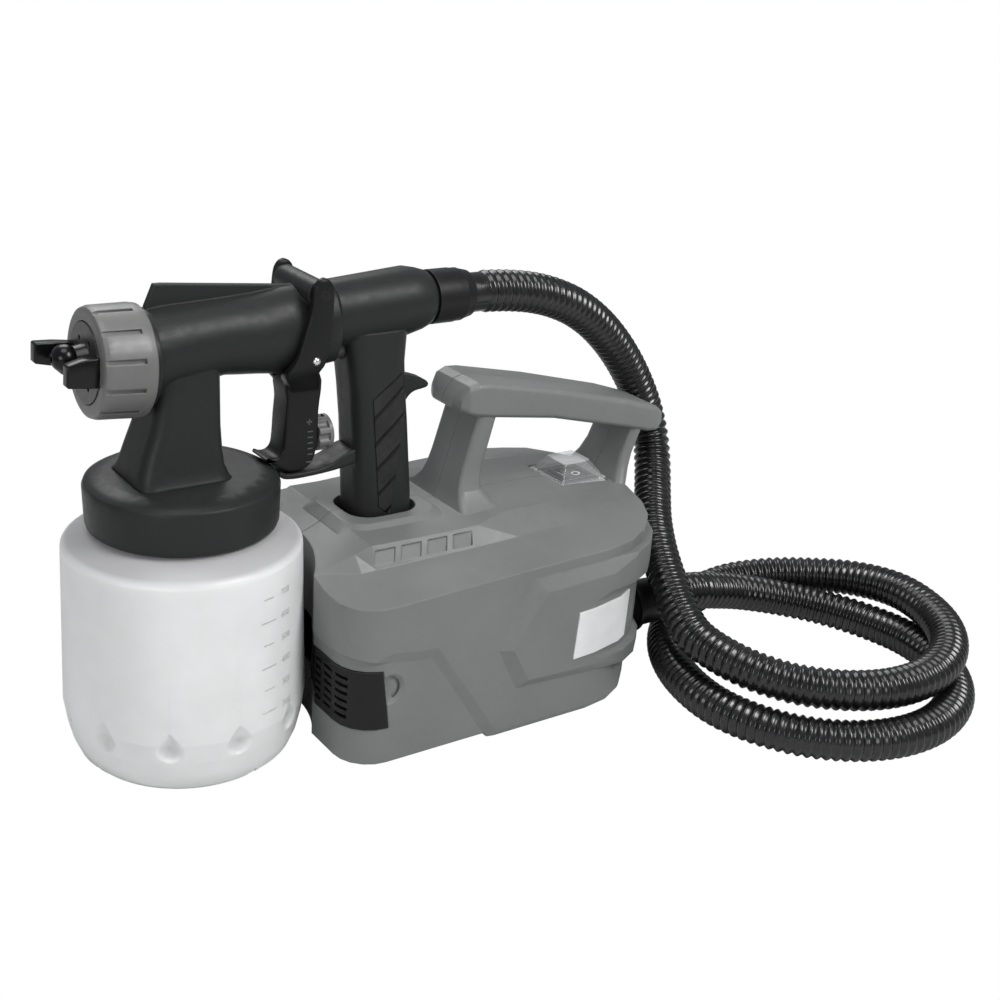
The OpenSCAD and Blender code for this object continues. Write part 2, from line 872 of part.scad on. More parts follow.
module rotor_shaft() {
  color("Gray") place()
    translate([motor_x, 0, 0])
      difference() {
        union() {
          translate([0, 0, 18.6])
            cylinder(r = shaft_r, h = 77.6, $fn = 48);
          translate([0, 0, 58])
            cylinder(r = 20, h = 22, $fn = 48);
          translate([0, 0, 55])
            cylinder(r1 = 12, r2 = 17, h = 3, $fn = 48);
          translate([0, 0, 80])
            cylinder(r1 = 17, r2 = 11.5, h = 3.6, $fn = 48);
        }
        for (k = [0:11])
          rotate([0, 0, 30 * k])
            translate([19, -0.8, 57])
              cube([4, 1.6, 24]);
      }
}

module commutator() {
  color("Peru") place()
    translate([motor_x, 0, 84])
      difference() {
        cylinder(r = 10, h = 6.4, $fn = 48);
        translate([0, 0, -1])
          cylinder(r = shaft_r + 0.02, h = 9, $fn = 48);
        for (k = [0:11])
          rotate([0, 0, 30 * k])
            translate([9.2, -0.3, -1])
              cube([2, 0.6, 9]);
      }
}

module motor_stator() {
  color("SaddleBrown") place()
    translate([motor_x, 0, 0]) {
      difference() {
        translate([0, 0, 58])
          linear_extrude(22)
            polygon(box_outline(-31, 31, 27, 12, 12, 6));
        translate([0, 0, 57])
          cylinder(r = 20.6, h = 24, $fn = 48);
        for (s = [-1, 1])
          translate([-8.8, s * 22.6 - 2.8, 57])
            cube([17.6, 5.6, 24]);
      }
      // Windings in their slots
      for (s = [-1, 1])
        translate([-8.6, s * 22.6 - 2.6, 54.5])
          cube([17.2, 5.2, 29]);
    }
}

module motor_bracket() {
  color("DarkGray") place()
    translate([motor_x, 0, 0])
      difference() {
        union() {
          // Lower plate on the casing, posts and the bridge that holds the top bearing
          translate([0, 0, casing_high])
            cylinder(r = 36, h = 3, $fn = 48);
          for (s = [-1, 1]) {
            translate([-6, s * 33.5 - 2.5, casing_high + 1])
              cube([12, 5, 47]);
            for (t = [-1, 1])
              translate([20 * t - 3, 20 * s - 3, casing_high + 1])
                cube([6, 6, 10.4]);
          }
          translate([-6, -36, 91.6])
            cube([12, 72, 2.6]);
          translate([-22.4, -4, 91.6])
            cube([44.8, 8, 2.6]);
          translate([0, 0, 90.9])
            cylinder(r = 10.6, h = 6, $fn = 48);
          // Brush holders beside the commutator
          for (s = [-1, 1])
            translate([s * 17 - 5.4, -5, 83.6])
              cube([10.8, 10, 8.2]);
        }
        translate([0, 0, 40])
          cylinder(r = 9.52, h = 12, $fn = 48);
        translate([0, 0, 91.2])
          cylinder(r = 8.02, h = 8, $fn = 48);
        translate([0, 0, 80])
          cylinder(r = shaft_r + 1, h = 12, $fn = 48);
        for (s = [-1, 1])
          translate([s * 17 - 8, -2.6, 84.6])
            cube([16, 5.2, 5.2]);
      }
}

module motor_bearings() {
  color("Silver") place()
    translate([motor_x, 0, 0]) {
      for (b = [[44.8, 9.48, 5], [91.3, 8, 4.6]])
        translate([0, 0, b[0]])
          difference() {
            cylinder(r = b[1], h = b[2], $fn = 48);
            translate([0, 0, -1])
              cylinder(r = shaft_r + run_gap, h = b[2] + 2, $fn = 48);
          }
    }
}

module motor_brushes() {
  color("Black") place()
    for (s = [-1, 1])
      translate([motor_x + s * 15.3 - 5, -2.5, 84.7])
        cube([10, 5, 5]);
}

// Rubber blocks between the floor and the casing
module motor_mounts() {
  color("Black") place()
    for (a = [90, 210, 330])
      translate([motor_x, 0, 0])
        rotate([0, 0, a])
          translate([casing_r - 4, 0, base_clear + wall])
            cylinder(r1 = 8.4, r2 = 7.2, h = casing_low - base_clear - wall, $fn = small_fn);
}

// ---------- gun ----------

// Places its children on the spray axis, with x = u
module on_axis() {
  translate([nut_x, 0, spray_z])
    rotate([0, pitch, 0])
      children();
}

// A revolve round the spray axis; the outline holds [radius, u]
module axis_turn(outline, fn = round_fn) {
  on_axis()
    rotate([0, 90, 0])
      rotate_extrude($fn = fn)
        polygon(outline);
}

module barrel_solid() {
  skin([for (b = BARREL) at_x(oval(b[1], b[2], b[3], 36), b[0])]);
  skin([for (n = NECK) at_z(box_outline(n[1], n[2], n[3], 7, 7, 5), n[0])]);
  // Crest along the top
  translate([0, 1.6, 0])
    rotate([90, 0, 0])
      linear_extrude(3.2)
        polygon([[-146, 205], [-146, 216], [-141.8, 225.5], [-138, 225.4], [-76, 219.6], [-70, 205]]);
  // Lug that carries the trigger pivot
  translate([pivot_x, 0, pivot_z])
    rotate([90, 0, 0])
      cylinder(r = 6, h = 2 * arm_in - 0.8, center = true, $fn = small_fn);
}

module gun_barrel() {
  color("DimGray") place() difference() {
    union() {
      barrel_solid();
      axis_turn([[0, -2], [16, -2], [16, 8], [21.5, 12], [21.5, 14], [0, 16]]);
    }
    // Lid seat
    translate([cup_x, 0, lid_top + 0.04 - far])
      cylinder(r = lid_r + 5.7, h = far, $fn = 48);
    // Air gallery round the needle, from the rear to the air cap
    axis_turn([[0, 8], [10, 8], [10, 104], [0, 104]], 48);
    axis_turn([[0, -3], [6, -3], [6, 9], [0, 9]], 48);
    for (k = [0:5])
      on_axis()
        rotate([60 * k + 30, 0, 0])
          translate([-3, 0, 11])
            rotate([0, 90, 0])
              cylinder(r = 2.6, h = 14, $fn = 24);
    // Bore of the suction tube
    translate([cup_x, 0, 130])
      cylinder(r = tube_r + 0.1, h = 58, $fn = small_fn);
    // Slots for the needle pin
    on_axis()
      translate([pin_u - 3.4, -25, -3])
        cube([9.6, 50, 6]);
    // Pivot bore
    translate([pivot_x, 0, pivot_z])
      rotate([90, 0, 0])
        cylinder(r = pivot_r + 0.02, h = 60, center = true, $fn = small_fn);
    // Seat of the spring cap
    axis_turn([[0, 96], [5.6, 96], [5.6, 130], [0, 130]], 48);
  }
}

module cup_lid() {
  color("DimGray") place() difference() {
    translate([cup_x, 0, 0])
      rotate_extrude($fn = 96)
        polygon([[neck_r + neck_fit, lid_bottom], [lid_r - 3, lid_bottom], [lid_r - 1.2, lid_bottom + 1.2],
          [lid_r - 0.5, lid_bottom + 3.4], [lid_r, lid_rim], [lid_r - 0.8, lid_rim + 2],
          [lid_r - 4.3, lid_rim + 3.9], [lid_land, lid_top], [0, lid_top], [0, lid_roof],
          [neck_r + neck_fit, lid_roof]]);
    translate([cup_x, 0, lid_bottom])
      cylinder(r = tube_r + 0.1, h = 30, $fn = small_fn);
  }
}

module grip_form(grow = 0) {
  skin([
    for (g = GRIP) at_z(
      box_outline(g[1] - grow, g[2] + grow, grip_half * g[3] + grow, grip_edge, grip_edge, 6), g[0]
    )
  ]);
}

module insert_prism(grow = 0) {
  side_prism([[-24 + grow, 175 + grow], [-39.4 - grow, 163.6], [-34.4 - grow, 108.6 - grow],
    [-28 + grow, 103.4 - grow], [-21.6 + grow, 159]]);
}

module gun_handle() {
  color("DimGray") place() difference() {
    union() {
      difference() {
        grip_form();
        difference() {
          insert_prism(0.02);
          grip_form(-1.2);
        }
      }
      skin([for (b = REAR_BODY) at_x(oval(b[1], b[2], b[3], 36), b[0])]);
      // Hook behind the grip
      translate([0, 5, 0])
        rotate([90, 0, 0])
          linear_extrude(10)
            polygon([[-22, 170], [-14.6, 168.2], [-5.4, 166.4], [-0.4, 163.6], [-0.2, 161.8], [-3.4, 161],
              [-11.9, 159.4], [-22, 156]]);
      // Finger guard under the trigger
      translate([0, 8, 0])
        rotate([90, 0, 0])
          linear_extrude(16)
            polygon([[-38, 128.8], [-51.4, 128.4], [-64, 125], [-80, 126], [guard_tip, 130.2],
              [guard_tip + 0.4, 131.6], [guard_tip + 1.7, 131], [-79, 128.2], [-60, 127.6],
              [-55.6, 131], [-52, 135.2], [-38, 135.6]]);
    }
    // Air way from the hose to the barrel
    translate([-70, 0, 205.4])
      rotate([0, 90, 0])
        cylinder(r = 8.8, h = 60, $fn = 48);
    translate([-12, 0, hose_axis])
      rotate([0, 90, 0])
        cylinder(r = 11.04, h = 20, $fn = 48);
    // The barrel ends here
    translate([-120, -40, 140])
      cube([120 + barrel_rear, 80, 100]);
    axis_turn([[0, 96], [5.7, 96], [5.7, 119.4], [0, 119.4]], 48);
  }
}

module grip_insert() {
  color("Black") place() difference() {
    intersection() {
      difference() {
        grip_form(0.4);
        grip_form(-1.18);
      }
      insert_prism();
    }
    // Slanted grooves
    for (k = [0:5])
      for (s = [-1, 1])
        translate([-30, s * (grip_half + 0.9), 116 + 8 * k])
          rotate([0, -35, 0])
            cube([30, 1.2, 1.2], center = true);
  }
}

module union_nut() {
  color("DarkGray") place()
    difference() {
      axis_turn([[18, nut_front], [nut_r - 3.4, nut_front], [nut_r - 1.4, nut_front + 0.8],
        [nut_r - 0.6, nut_front + 3], [nut_r, nut_back - 4], [nut_r - 0.4, nut_back - 0.8],
        [nut_r - 1.6, nut_back], [22, nut_back], [22, nut_back - 5], [21, nut_back - 6],
        [21, nut_front + 4.2], [18, nut_front + 4.2]], 96);
      on_axis()
        for (k = [0:11])
          rotate([30 * k + 15, 0, 0])
            translate([nut_front - 1, -1.1, nut_r - 1.6])
              cube([19, 2.2, 4]);
    }
}

module horn(s) {
  on_axis()
    translate([0, s * 15, 0])
      rotate([90, 0, 0])
        linear_extrude(5.2, center = true)
          polygon([[-12.2, -7], [-20, -6.6], [-24.6, -4.8], [horn_tip, -2.2], [horn_tip, 2.4],
            [-25, 4.8], [-19, 6.8], [-12.2, 7]]);
}

module air_cap() {
  color("Black") place() difference() {
    union() {
      axis_turn([[5.2, nut_front - 0.4], [cap_r, nut_front - 0.4], [cap_r, nut_front + 4.4],
        [20.6, nut_front + 4.6], [20.6, nut_front + 7], [5.2, nut_front + 7]]);
      axis_turn([[5.2, nut_front - 5.4], [7.4, nut_front - 5.4], [9, nut_front], [5.2, nut_front]]);
      horn(-1);
      horn(1);
    }
    // Shaping-air holes in the horns
    for (s = [-1, 1])
      on_axis()
        for (w = [-1, 1])
          translate([-21.5, s * 12.4, 2.6 * w])
            rotate([s * 90, 0, 0])
              translate([0, 0, -1])
                cylinder(r = 0.9, h = 3.4, $fn = 16);
    // Vent holes in the disc
    for (k = [0:5])
      on_axis()
        rotate([60 * k + 30, 0, 0])
          translate([nut_front - 3, 0, 11])
            rotate([0, 90, 0])
              cylinder(r = 1.4, h = 14, $fn = 16);
  }
}

// Hollow nozzle with its paint tube, from above the suction tube to the ball tip
module fluid_nozzle() {
  color("DarkSlateGray") place()
    axis_turn([[1.6, 37], [4.2, 37], [4.2, 8], [5.9, 8], [5.9, -2.1], [9, -2.1], [9, -4.6], [4.4, -4.6],
      [4.2, -15], [4.8, -17], [4.9, -19.4], [4.2, -22], [2.8, -23.6], [1, -24.2], [1, -22], [1.6, -19]], 48);
}

module needle() {
  color("Silver") place() difference() {
    axis_turn([[0, -21], [needle_r, -17], [needle_r, 80.5], [4.4, 80.5], [4.4, 95], [needle_r, 95],
      [needle_r, 104], [0, 104]], 48);
    on_axis()
      translate([pin_u, 0, 0])
        rotate([90, 0, 0])
          cylinder(r = pin_r + 0.02, h = 30, center = true, $fn = small_fn);
  }
}

module needle_pin() {
  color("Silver") place()
    on_axis()
      translate([pin_u, 0, 0])
        rotate([90, 0, 0])
          cylinder(r = pin_r, h = 2 * arm_out + 0.6, center = true, $fn = small_fn);
}

module needle_spring() {
  turns = 5;
  color("Silver") place()
    on_axis()
      skin([
        for (k = [0:14 * turns]) let (
          a = 360 * k / 14,
          u = mix(spring_from + 0.7, spring_to - 0.7, k / (14 * turns))
        ) [for (m = [0:5]) let (b = -60 * m, r = 3.2 + 0.6 * cos(b)) [u + 0.6 * sin(b), r * cos(a), r * sin(a)]]
      ]);
}

module spring_cap() {
  color("DimGray") place()
    axis_turn([[0, 118.6], [3.2, 118.4], [4.8, 117.2], [5.5, 115], [5.5, 98], [4.6, 98], [4.6, 112],
      [0, 112]], 48);
}

// ---------- trigger ----------

module trigger_arm(s) {
  skin([
    for (a = ARM) let (y0 = s > 0 ? a[3] : -a[4], y1 = s > 0 ? a[4] : -a[3])
      [[a[2], y1, a[0]], [a[1] + 1, y1, a[0]], [a[1], (y0 + y1) / 2, a[0]], [a[1] + 1, y0, a[0]],
        [a[2], y0, a[0]]]
  ]);
  translate([pivot_x, s * (arm_in + arm_out + 0.4) / 2, pivot_z])
    rotate([90, 0, 0])
      cylinder(r = 6.2, h = arm_out - arm_in + 0.4, center = true, $fn = small_fn);
}

module trigger() {
  color("Black") place() difference() {
    union() {
      for (s = [-1, 1])
        trigger_arm(s);
      skin([for (b = BLADE) at_z(box_outline(b[1], b[2], b[3], 4.2, 3, 5), b[0])]);
    }
    translate([pivot_x, 0, pivot_z])
      rotate([90, 0, 0])
        cylinder(r = pivot_r + run_gap, h = 60, center = true, $fn = small_fn);
    on_axis()
      translate([pin_u, 0, 0])
        rotate([90, 0, 0])
          cylinder(r = pin_r + 0.15, h = 60, center = true, $fn = small_fn);
    // Bore of the flow knob's stem
    translate([-77.4, 0, knob_z])
      rotate([0, 90, 0])
        cylinder(r = 2 + run_gap, h = 20, $fn = small_fn);
  }
}

module trigger_pin() {
  color("Silver") place()
    translate([pivot_x, 0, pivot_z])
      rotate([90, 0, 0])
        cylinder(r = pivot_r, h = 2 * arm_out + 1, center = true, $fn = small_fn);
}

module flow_knob() {
  color("LightGray") place()
    translate([knob_x, 0, knob_z])
      rotate([0, 90, 0])
        difference() {
          union() {
            translate([0, 0, -12])
              cylinder(r = 2, h = 13, $fn = small_fn);
            cylinder(r = knob_r, h = knob_len, $fn = 48);
          }
          for (k = [0:7])
            rotate([0, 0, 45 * k])
              translate([knob_r + 1, 0, -1])
                cylinder(r = 2.4, h = knob_len - 0.8, $fn = 24);
        }
}

// ---------- cup ----------

module cup() {
  w = cup_wall;
  r = cup_r;
  top = cup_shoulder;
  taper = 1.8;
  color("WhiteSmoke") place()
    translate([cup_x, 0, 0])
      difference() {
        rotate_extrude($fn = 96)
          polygon([[0, 1.6], [41, 1.6], [42.5, 0], [47, 0], [51.4, 3.2], [54.6, 9.6], [r - 0.6, 18],
            [r, 25.5], [r - taper, top - 9], [r - taper - 1.2, top - 5], [r - taper - 4.4, top - 1.8],
            [r - taper - 9, top], [neck_r + 3.1, top + 0.9], [neck_r + 1.7, top + 1.5],
            [neck_r, top + 1.9], [neck_r, neck_top], [neck_r - w, neck_top], [neck_r - w, top - 0.6],
            [r - taper - 9.6, top - w],
            [r - taper - 5.4, top - 1.8 - w], [r - taper - 1.2 - w, top - 6.6], [r - taper - w, top - 10],
            [r - w, 26], [r - 0.6 - w, 19], [52.6, 11.4], [49.6, 5.6], [46, 3.6], [0, 3.6]]);
        // Teardrop dimples round the foot
        for (k = [0:9])
          rotate([0, 0, 36 * k + 12])
            translate([r + 6.8, 0, 24])
              sphere(8, $fn = 32);
        // Notches in the standing ring
        for (k = [0:4])
          rotate([0, 0, 72 * k + 20])
            translate([40, -1.6, -1])
              cube([9, 3.2, 2.1]);
      }
}

module cup_seal() {
  color("Black") place()
    translate([cup_x, 0, neck_top + 0.02])
      difference() {
        cylinder(r = neck_r, h = 1.5, $fn = 72);
        translate([0, 0, -1])
          cylinder(r = neck_r - 3, h = 4, $fn = 72);
      }
}

// The suction tube's two straight parts, of radius r and longer by extra at each end
module tube_form(r, extra) {
  foot = tube_foot - [0, 0, tube_bend];
  cylinder(r = r, h = 187 - tube_bend + extra, $fn = small_fn);
  sphere(r, $fn = small_fn);
  rotate([0, -90 - atan(foot[2] / foot[0]), 0])
    cylinder(r = r, h = norm(foot) + extra, $fn = small_fn);
}

module suction_tube() {
  color("White") place()
    translate([cup_x, 0, tube_bend])
      difference() {
        tube_form(tube_r, 0);
        tube_form(tube_r - 1, 1);
      }
}

// ---------- hose ----------

function unit(v) = v / norm(v);
// Direction of a route at point k
function heading(path, k) =
  unit(path[min(k + 1, len(path) - 1)] - path[max(k - 1, 0)]);
// Rings of a tube along a route; the rings keep one side level
function tube_rings(path, r, sides) = [
  for (k = [0:len(path) - 1]) let (
    t = heading(path, k),
    side = abs(t[2]) > 0.98 ? [0, 1, 0] : unit(cross([0, 0, 1], t)),
    a = unit(side - t * (side * t)),
    b = cross(t, a)
  ) [for (m = [0:sides - 1]) path[k] + r * (cos(360 * m / sides) * a + sin(360 * m / sides) * b)]
];
// Middle of the hose at an angle along its two turns
function turn_point(a) = let (
  t = min(1, max(0, (a - 450) / 90)),
  c = mix(UPPER, LOWER, t),
  r = mix(turn_r, lower_r, t)
) [c[0] + r * cos(a), c[1] + r * sin(a), along(RISE, a)];
HOSE = concat(FALL, [for (a = [180:turn_step:800]) turn_point(a)], RUN_IN);

module hose() {
  color("Black") place()
    skin(tube_rings(HOSE, hose_d / 2, 10));
}

module hose_cuff_gun() {
  color("Black") place()
    translate([0, 0, hose_axis])
      rotate([0, 90, 0])
        rotate_extrude($fn = round_fn)
          polygon([[8.6, -11.8], [11, -11.8], [11, -3.3], [13.2, -3.3], [13.2, 8.6], [12.9, 9.4],
            [12.9, 13], [12.4, 14.2], [11.4, cuff_end], [8.6, cuff_end]]);
}

module hose_cuff_base() {
  color("Black") place()
    translate([0, outlet_y, outlet_z])
      rotate([0, 90, 0])
        rotate_extrude($fn = round_fn)
          polygon([[11.02, 113.8], [12.4, 113.8], [12.4, 126], [11.4, 136], [8.8, 136], [8.8, 124.1],
            [11.02, 124.1]]);
}

housing_left();
housing_right();
housing_screws();
feet();
badge_plate();
filter_cover();
filter_foam();
switch_body();
rocker();
switch_boot();
outlet_spigot();
cord_gland();
turbine_casing();
turbine_fan();
rotor_shaft();
commutator();
motor_stator();
motor_bracket();
motor_bearings();
motor_brushes();
motor_mounts();
gun_barrel();
cup_lid();
gun_handle();
grip_insert();
union_nut();
air_cap();
fluid_nozzle();
needle();
needle_pin();
needle_spring();
spring_cap();
trigger();
trigger_pin();
flow_knob();
cup();
cup_seal();
suction_tube();
hose_cuff_gun();
hose();
hose_cuff_base();
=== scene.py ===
"""Dresses the turbine paint sprayer: hose, cup, trigger, small marks and all finishes.

Metres, in the frame of the solids: X from the nozzle to the hose end, Z up, floor at z = 0.
Sizes are named in millimetres, and places along X count from the middle of the base.
"""

import json
import math

import bmesh
import bpy
from mathutils import Matrix, Vector


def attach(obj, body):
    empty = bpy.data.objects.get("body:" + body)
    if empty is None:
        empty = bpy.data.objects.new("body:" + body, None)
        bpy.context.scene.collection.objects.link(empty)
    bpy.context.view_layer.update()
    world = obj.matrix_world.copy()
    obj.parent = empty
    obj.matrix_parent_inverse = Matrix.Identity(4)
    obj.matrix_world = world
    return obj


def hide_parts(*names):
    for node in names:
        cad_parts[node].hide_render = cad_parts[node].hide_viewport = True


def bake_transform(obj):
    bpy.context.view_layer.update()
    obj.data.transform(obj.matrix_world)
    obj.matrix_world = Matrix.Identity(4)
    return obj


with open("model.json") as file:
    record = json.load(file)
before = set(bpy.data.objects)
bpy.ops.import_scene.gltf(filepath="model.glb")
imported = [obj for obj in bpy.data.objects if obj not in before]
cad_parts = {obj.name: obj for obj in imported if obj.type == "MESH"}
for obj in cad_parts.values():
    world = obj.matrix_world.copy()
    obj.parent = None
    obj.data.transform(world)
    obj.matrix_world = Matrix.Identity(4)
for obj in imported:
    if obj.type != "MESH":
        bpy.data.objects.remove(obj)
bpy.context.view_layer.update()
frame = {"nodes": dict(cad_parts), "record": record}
BODY_OF = {
    node: body for body, nodes in frame["record"]["behaviour"]["bodies"].items() for node in nodes
}

MM = 0.001
BASE_MIDDLE = 21.0
# Points closer than this become one
WELD = 1e-6


def at(x, y, z):
    """A place in millimetres from the middle of the base, as metres from the origin."""
    return Vector((x + BASE_MIDDLE, y, z)) * MM


# Camera
CAMERA_AT = at(-383.27, -594.08, 389.95)
AZIMUTH = 36.0
ELEVATION = 22.07
ROLL = 4.0
LENS = 54.0
SENSOR = 36

# Air hose
HOSE_D = 21.0
RIB_PITCH = 4.5
RIB_DEPTH = 1.35
RIB_RINGS = 8
HOSE_SIDES = 24
OUTLET_Z = 33.0
GUN_CUFF_END = 18.5
HOSE_FALL = [
    (GUN_CUFF_END + 0.3, 0, 207), (32, 0, 206.8), (46.6, 0.8, 205.4), (61.7, 2.3, 202.6),
    (77.5, 4.6, 197.7), (94, 7.6, 190.3), (110.7, 11.2, 179.7), (126.4, 14.8, 166.6),
    (140.5, 17.8, 151.6), (151.7, 19.4, 136.2), (159.8, 19.2, 120.6), (162.9, 15.5, 105.5),
    (159.9, 7.9, 92.4), (151.5, -4.1, 81), (140, -20.1, 71.4), (129.5, -38.7, 62.2),
    (122.3, -57, 52.5), (117.5, -73.6, 43.3),
]
UPPER_TURN = (193, -92)
LOWER_TURN = (185, -110)
UPPER_R = 78.0
LOWER_R = 75.5
TURN_STEP = 20
TURN_RISE = [
    (180, 36.4), (200, 33), (225, 30), (270, 28.4), (315, 29.6), (360, 30), (382, 27),
    (405, 22), (435, 18), (455, 14.6), (472, 12), (488, HOSE_D / 2), (745, HOSE_D / 2),
    (770, 13.5), (790, 18), (806, 23),
]
HOSE_RUN_IN = [(174, -36, 27.4), (162, -37.4, 30.8), (149, -38, 32.7), (136.3, -38, OUTLET_Z)]


# ---------- camera, light and floor ----------

def make_camera():
    """The camera, turned by azimuth, elevation and roll."""
    a, e, r = (math.radians(v) for v in (AZIMUTH, ELEVATION, ROLL))
    forward = Vector((math.sin(a) * math.cos(e), math.cos(a) * math.cos(e), -math.sin(e)))
    level = Vector((math.cos(a), -math.sin(a), 0))
    up = level.cross(forward)
    right = math.cos(r) * level + math.sin(r) * up
    top = math.cos(r) * up - math.sin(r) * level
    data = bpy.data.cameras.new("camera")
    data.lens = LENS
    data.sensor_width = SENSOR
    camera = bpy.data.objects.new("camera", data)
    turn = Matrix((right, top, -forward)).transposed()
    camera.matrix_world = Matrix.Translation(CAMERA_AT) @ turn.to_4x4()
    bpy.context.scene.collection.objects.link(camera)
    bpy.context.scene.camera = camera


WORLD_FILL = 0.3
FILL_COLOUR = (0.93, 0.96, 1, 1)
LIGHT_AIM = at(0, 0, 100)
# Name, place in millimetres, size in metres and power of each light
LIGHTS = [
    ("key", (450, -1000, 1250), 0.7, 16.5),
    ("top", (-250, -150, 1600), 0.9, 8),
    ("rear", (200, 1200, 1300), 1.0, 10),
    ("front", (-1000, -700, 500), 0.5, 3),
]
FLOOR_GREY = 0.62
FLOOR_HALF = 40


def area_light(name, place, size, power):
    """A round lamp that points at the object."""
    data = bpy.data.lights.new(name, "AREA")
    data.shape = "DISK"
    data.size = size
    data.energy = power
    light = bpy.data.objects.new(name, data)
    light.location = place
    light.rotation_euler = (LIGHT_AIM - place).to_track_quat("-Z", "Y").to_euler()
    bpy.context.scene.collection.objects.link(light)


def white_when_seen(tree, output, plain, white):
    """Links a white shader for what the camera sees straight on, and a plain one for the rest."""
    rays = tree.nodes.new("ShaderNodeLightPath")
    choice = tree.nodes.new("ShaderNodeMixShader")
    tree.links.new(rays.outputs["Is Camera Ray"], choice.inputs[0])
    tree.links.new(plain.outputs[0], choice.inputs[1])
    tree.links.new(white.outputs[0], choice.inputs[2])
    tree.links.new(choice.outputs[0], output.inputs[0])


def make_world():
    """A faint even light, behind a plain white background."""
    world = bpy.data.worlds.new("studio")
    bpy.context.scene.world = world
    world.use_nodes = True
    tree = world.node_tree
    tree.nodes.clear()
    fill = tree.nodes.new("ShaderNodeBackground")
    fill.inputs["Color"].default_value = FILL_COLOUR
    fill.inputs["Strength"].default_value = WORLD_FILL
    white = tree.nodes.new("ShaderNodeBackground")
    white.inputs["Strength"].default_value = 1.0
    white_when_seen(tree, tree.nodes.new("ShaderNodeOutputWorld"), fill, white)


def floor_paint():
    """A matt floor that looks plain white to the camera."""
    material = bpy.data.materials.new("studio_floor")
    material.use_nodes = True
    tree = material.node_tree
    tree.nodes.clear()
    paint = tree.nodes.new("ShaderNodeBsdfDiffuse")
    paint.inputs["Color"].default_value = (FLOOR_GREY, FLOOR_GREY, FLOOR_GREY, 1)
    glow = tree.nodes.new("ShaderNodeEmission")
    glow.inputs["Strength"].default_value = 1.0
    white_when_seen(tree, tree.nodes.new("ShaderNodeOutputMaterial"), paint, glow)
    return material


def make_floor():
    """A square floor far wider than the object."""
    form = bmesh.new()
    bmesh.ops.create_grid(form, x_segments=1, y_segments=1, size=FLOOR_HALF)
    mesh = bpy.data.meshes.new("floor")
    form.to_mesh(mesh)
    form.free()
    mesh.materials.append(floor_paint())
    floor = bpy.data.objects.new("floor", mesh)
    bpy.context.scene.collection.objects.link(floor)


def make_studio():
    """World, lamps and floor."""
    bpy.context.scene.view_settings.view_transform = "Standard"
    make_world()
    for name, place, size, power in LIGHTS:
        area_light(name, at(*place), size, power)
    make_floor()


# ---------- small helpers ----------

def mix(a, b, t):
    """The value at t between a and b."""
    return a + (b - a) * t


def along(table, t):
    """The value at t in a list of (t, value)."""
    for (t0, v0), (t1, v1) in zip(table, table[1:]):
        if t <= t1:
            return mix(v0, v1, (t - t0) / (t1 - t0))
    return table[-1][1]


def make_object(name, form, smooth=True):
    """Closes a form's seams and poles, turns its faces outwards and makes it an object."""
    bmesh.ops.remove_doubles(form, verts=form.verts, dist=WELD)
    bmesh.ops.recalc_face_normals(form, faces=form.faces)
    for face in form.faces:
        face.smooth = smooth
    mesh = bpy.data.meshes.new(name)
    form.to_mesh(mesh)
    form.free()
    thing = bpy.data.objects.new(name, mesh)
    bpy.context.scene.collection.objects.link(thing)
    return thing


def finish_piece(name, form, material, node, sharp=35):
    """Makes a form a smooth piece with the given material, that takes its body from a node."""
    thing = make_object(name, form)
    thing.data.set_sharp_from_angle(angle=math.radians(sharp))
    thing.data.materials.append(material)
    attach(thing, BODY_OF[node])
    return thing


def merge_forms(name, parts, material, body):
    """Makes several forms one piece with flat faces."""
    whole = bmesh.new()
    for part in parts:
        mesh = bpy.data.meshes.new("piece")
        part.to_mesh(mesh)
        part.free()
        whole.from_mesh(mesh)
        bpy.data.meshes.remove(mesh)
    thing = make_object(name, whole, smooth=False)
    thing.data.materials.append(material)
    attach(thing, body)


def placed(spot, degrees=0, axis="Z"):
    """Matrix that takes a form in millimetres to metres, turns it and moves it to a place."""
    turn = Matrix.Rotation(math.radians(degrees), 4, axis)
    return Matrix.Translation(spot) @ turn @ Matrix.Scale(MM, 4)


def curve_point(p0, p1, p2, p3, t):
    """The point at t between p1 and p2 on a smooth curve through all four."""
    return 0.5 * (2 * p1 + (p2 - p0) * t + (2 * p0 - 5 * p1 + 4 * p2 - p3) * t ** 2
                  + (3 * p1 - p0 - 3 * p2 + p3) * t ** 3)


def smooth_line(points, step, parts=4):
    """Points about a step apart on a smooth curve through the given ones, and its length."""
    pts = [Vector(p) for p in points]
    pts = [2 * pts[0] - pts[1]] + pts + [2 * pts[-1] - pts[-2]]
    fine = []
    for p0, p1, p2, p3 in zip(pts, pts[1:], pts[2:], pts[3:]):
        count = max(2, int((p2 - p1).length / step * parts))
        fine += [curve_point(p0, p1, p2, p3, k / count) for k in range(count)]
    fine.append(pts[-2])
    lengths = [0.0]
    for a, b in zip(fine, fine[1:]):
        lengths.append(lengths[-1] + (b - a).length)
    count = round(lengths[-1] / step)
    line, j = [], 0
    for k in range(count + 1):
        want = lengths[-1] * k / count
        while j < len(fine) - 2 and lengths[j + 1] < want:
            j += 1
        t = (want - lengths[j]) / max(1e-12, lengths[j + 1] - lengths[j])
        line.append(fine[j].lerp(fine[j + 1], min(1, t)))
    return line, lengths[-1]


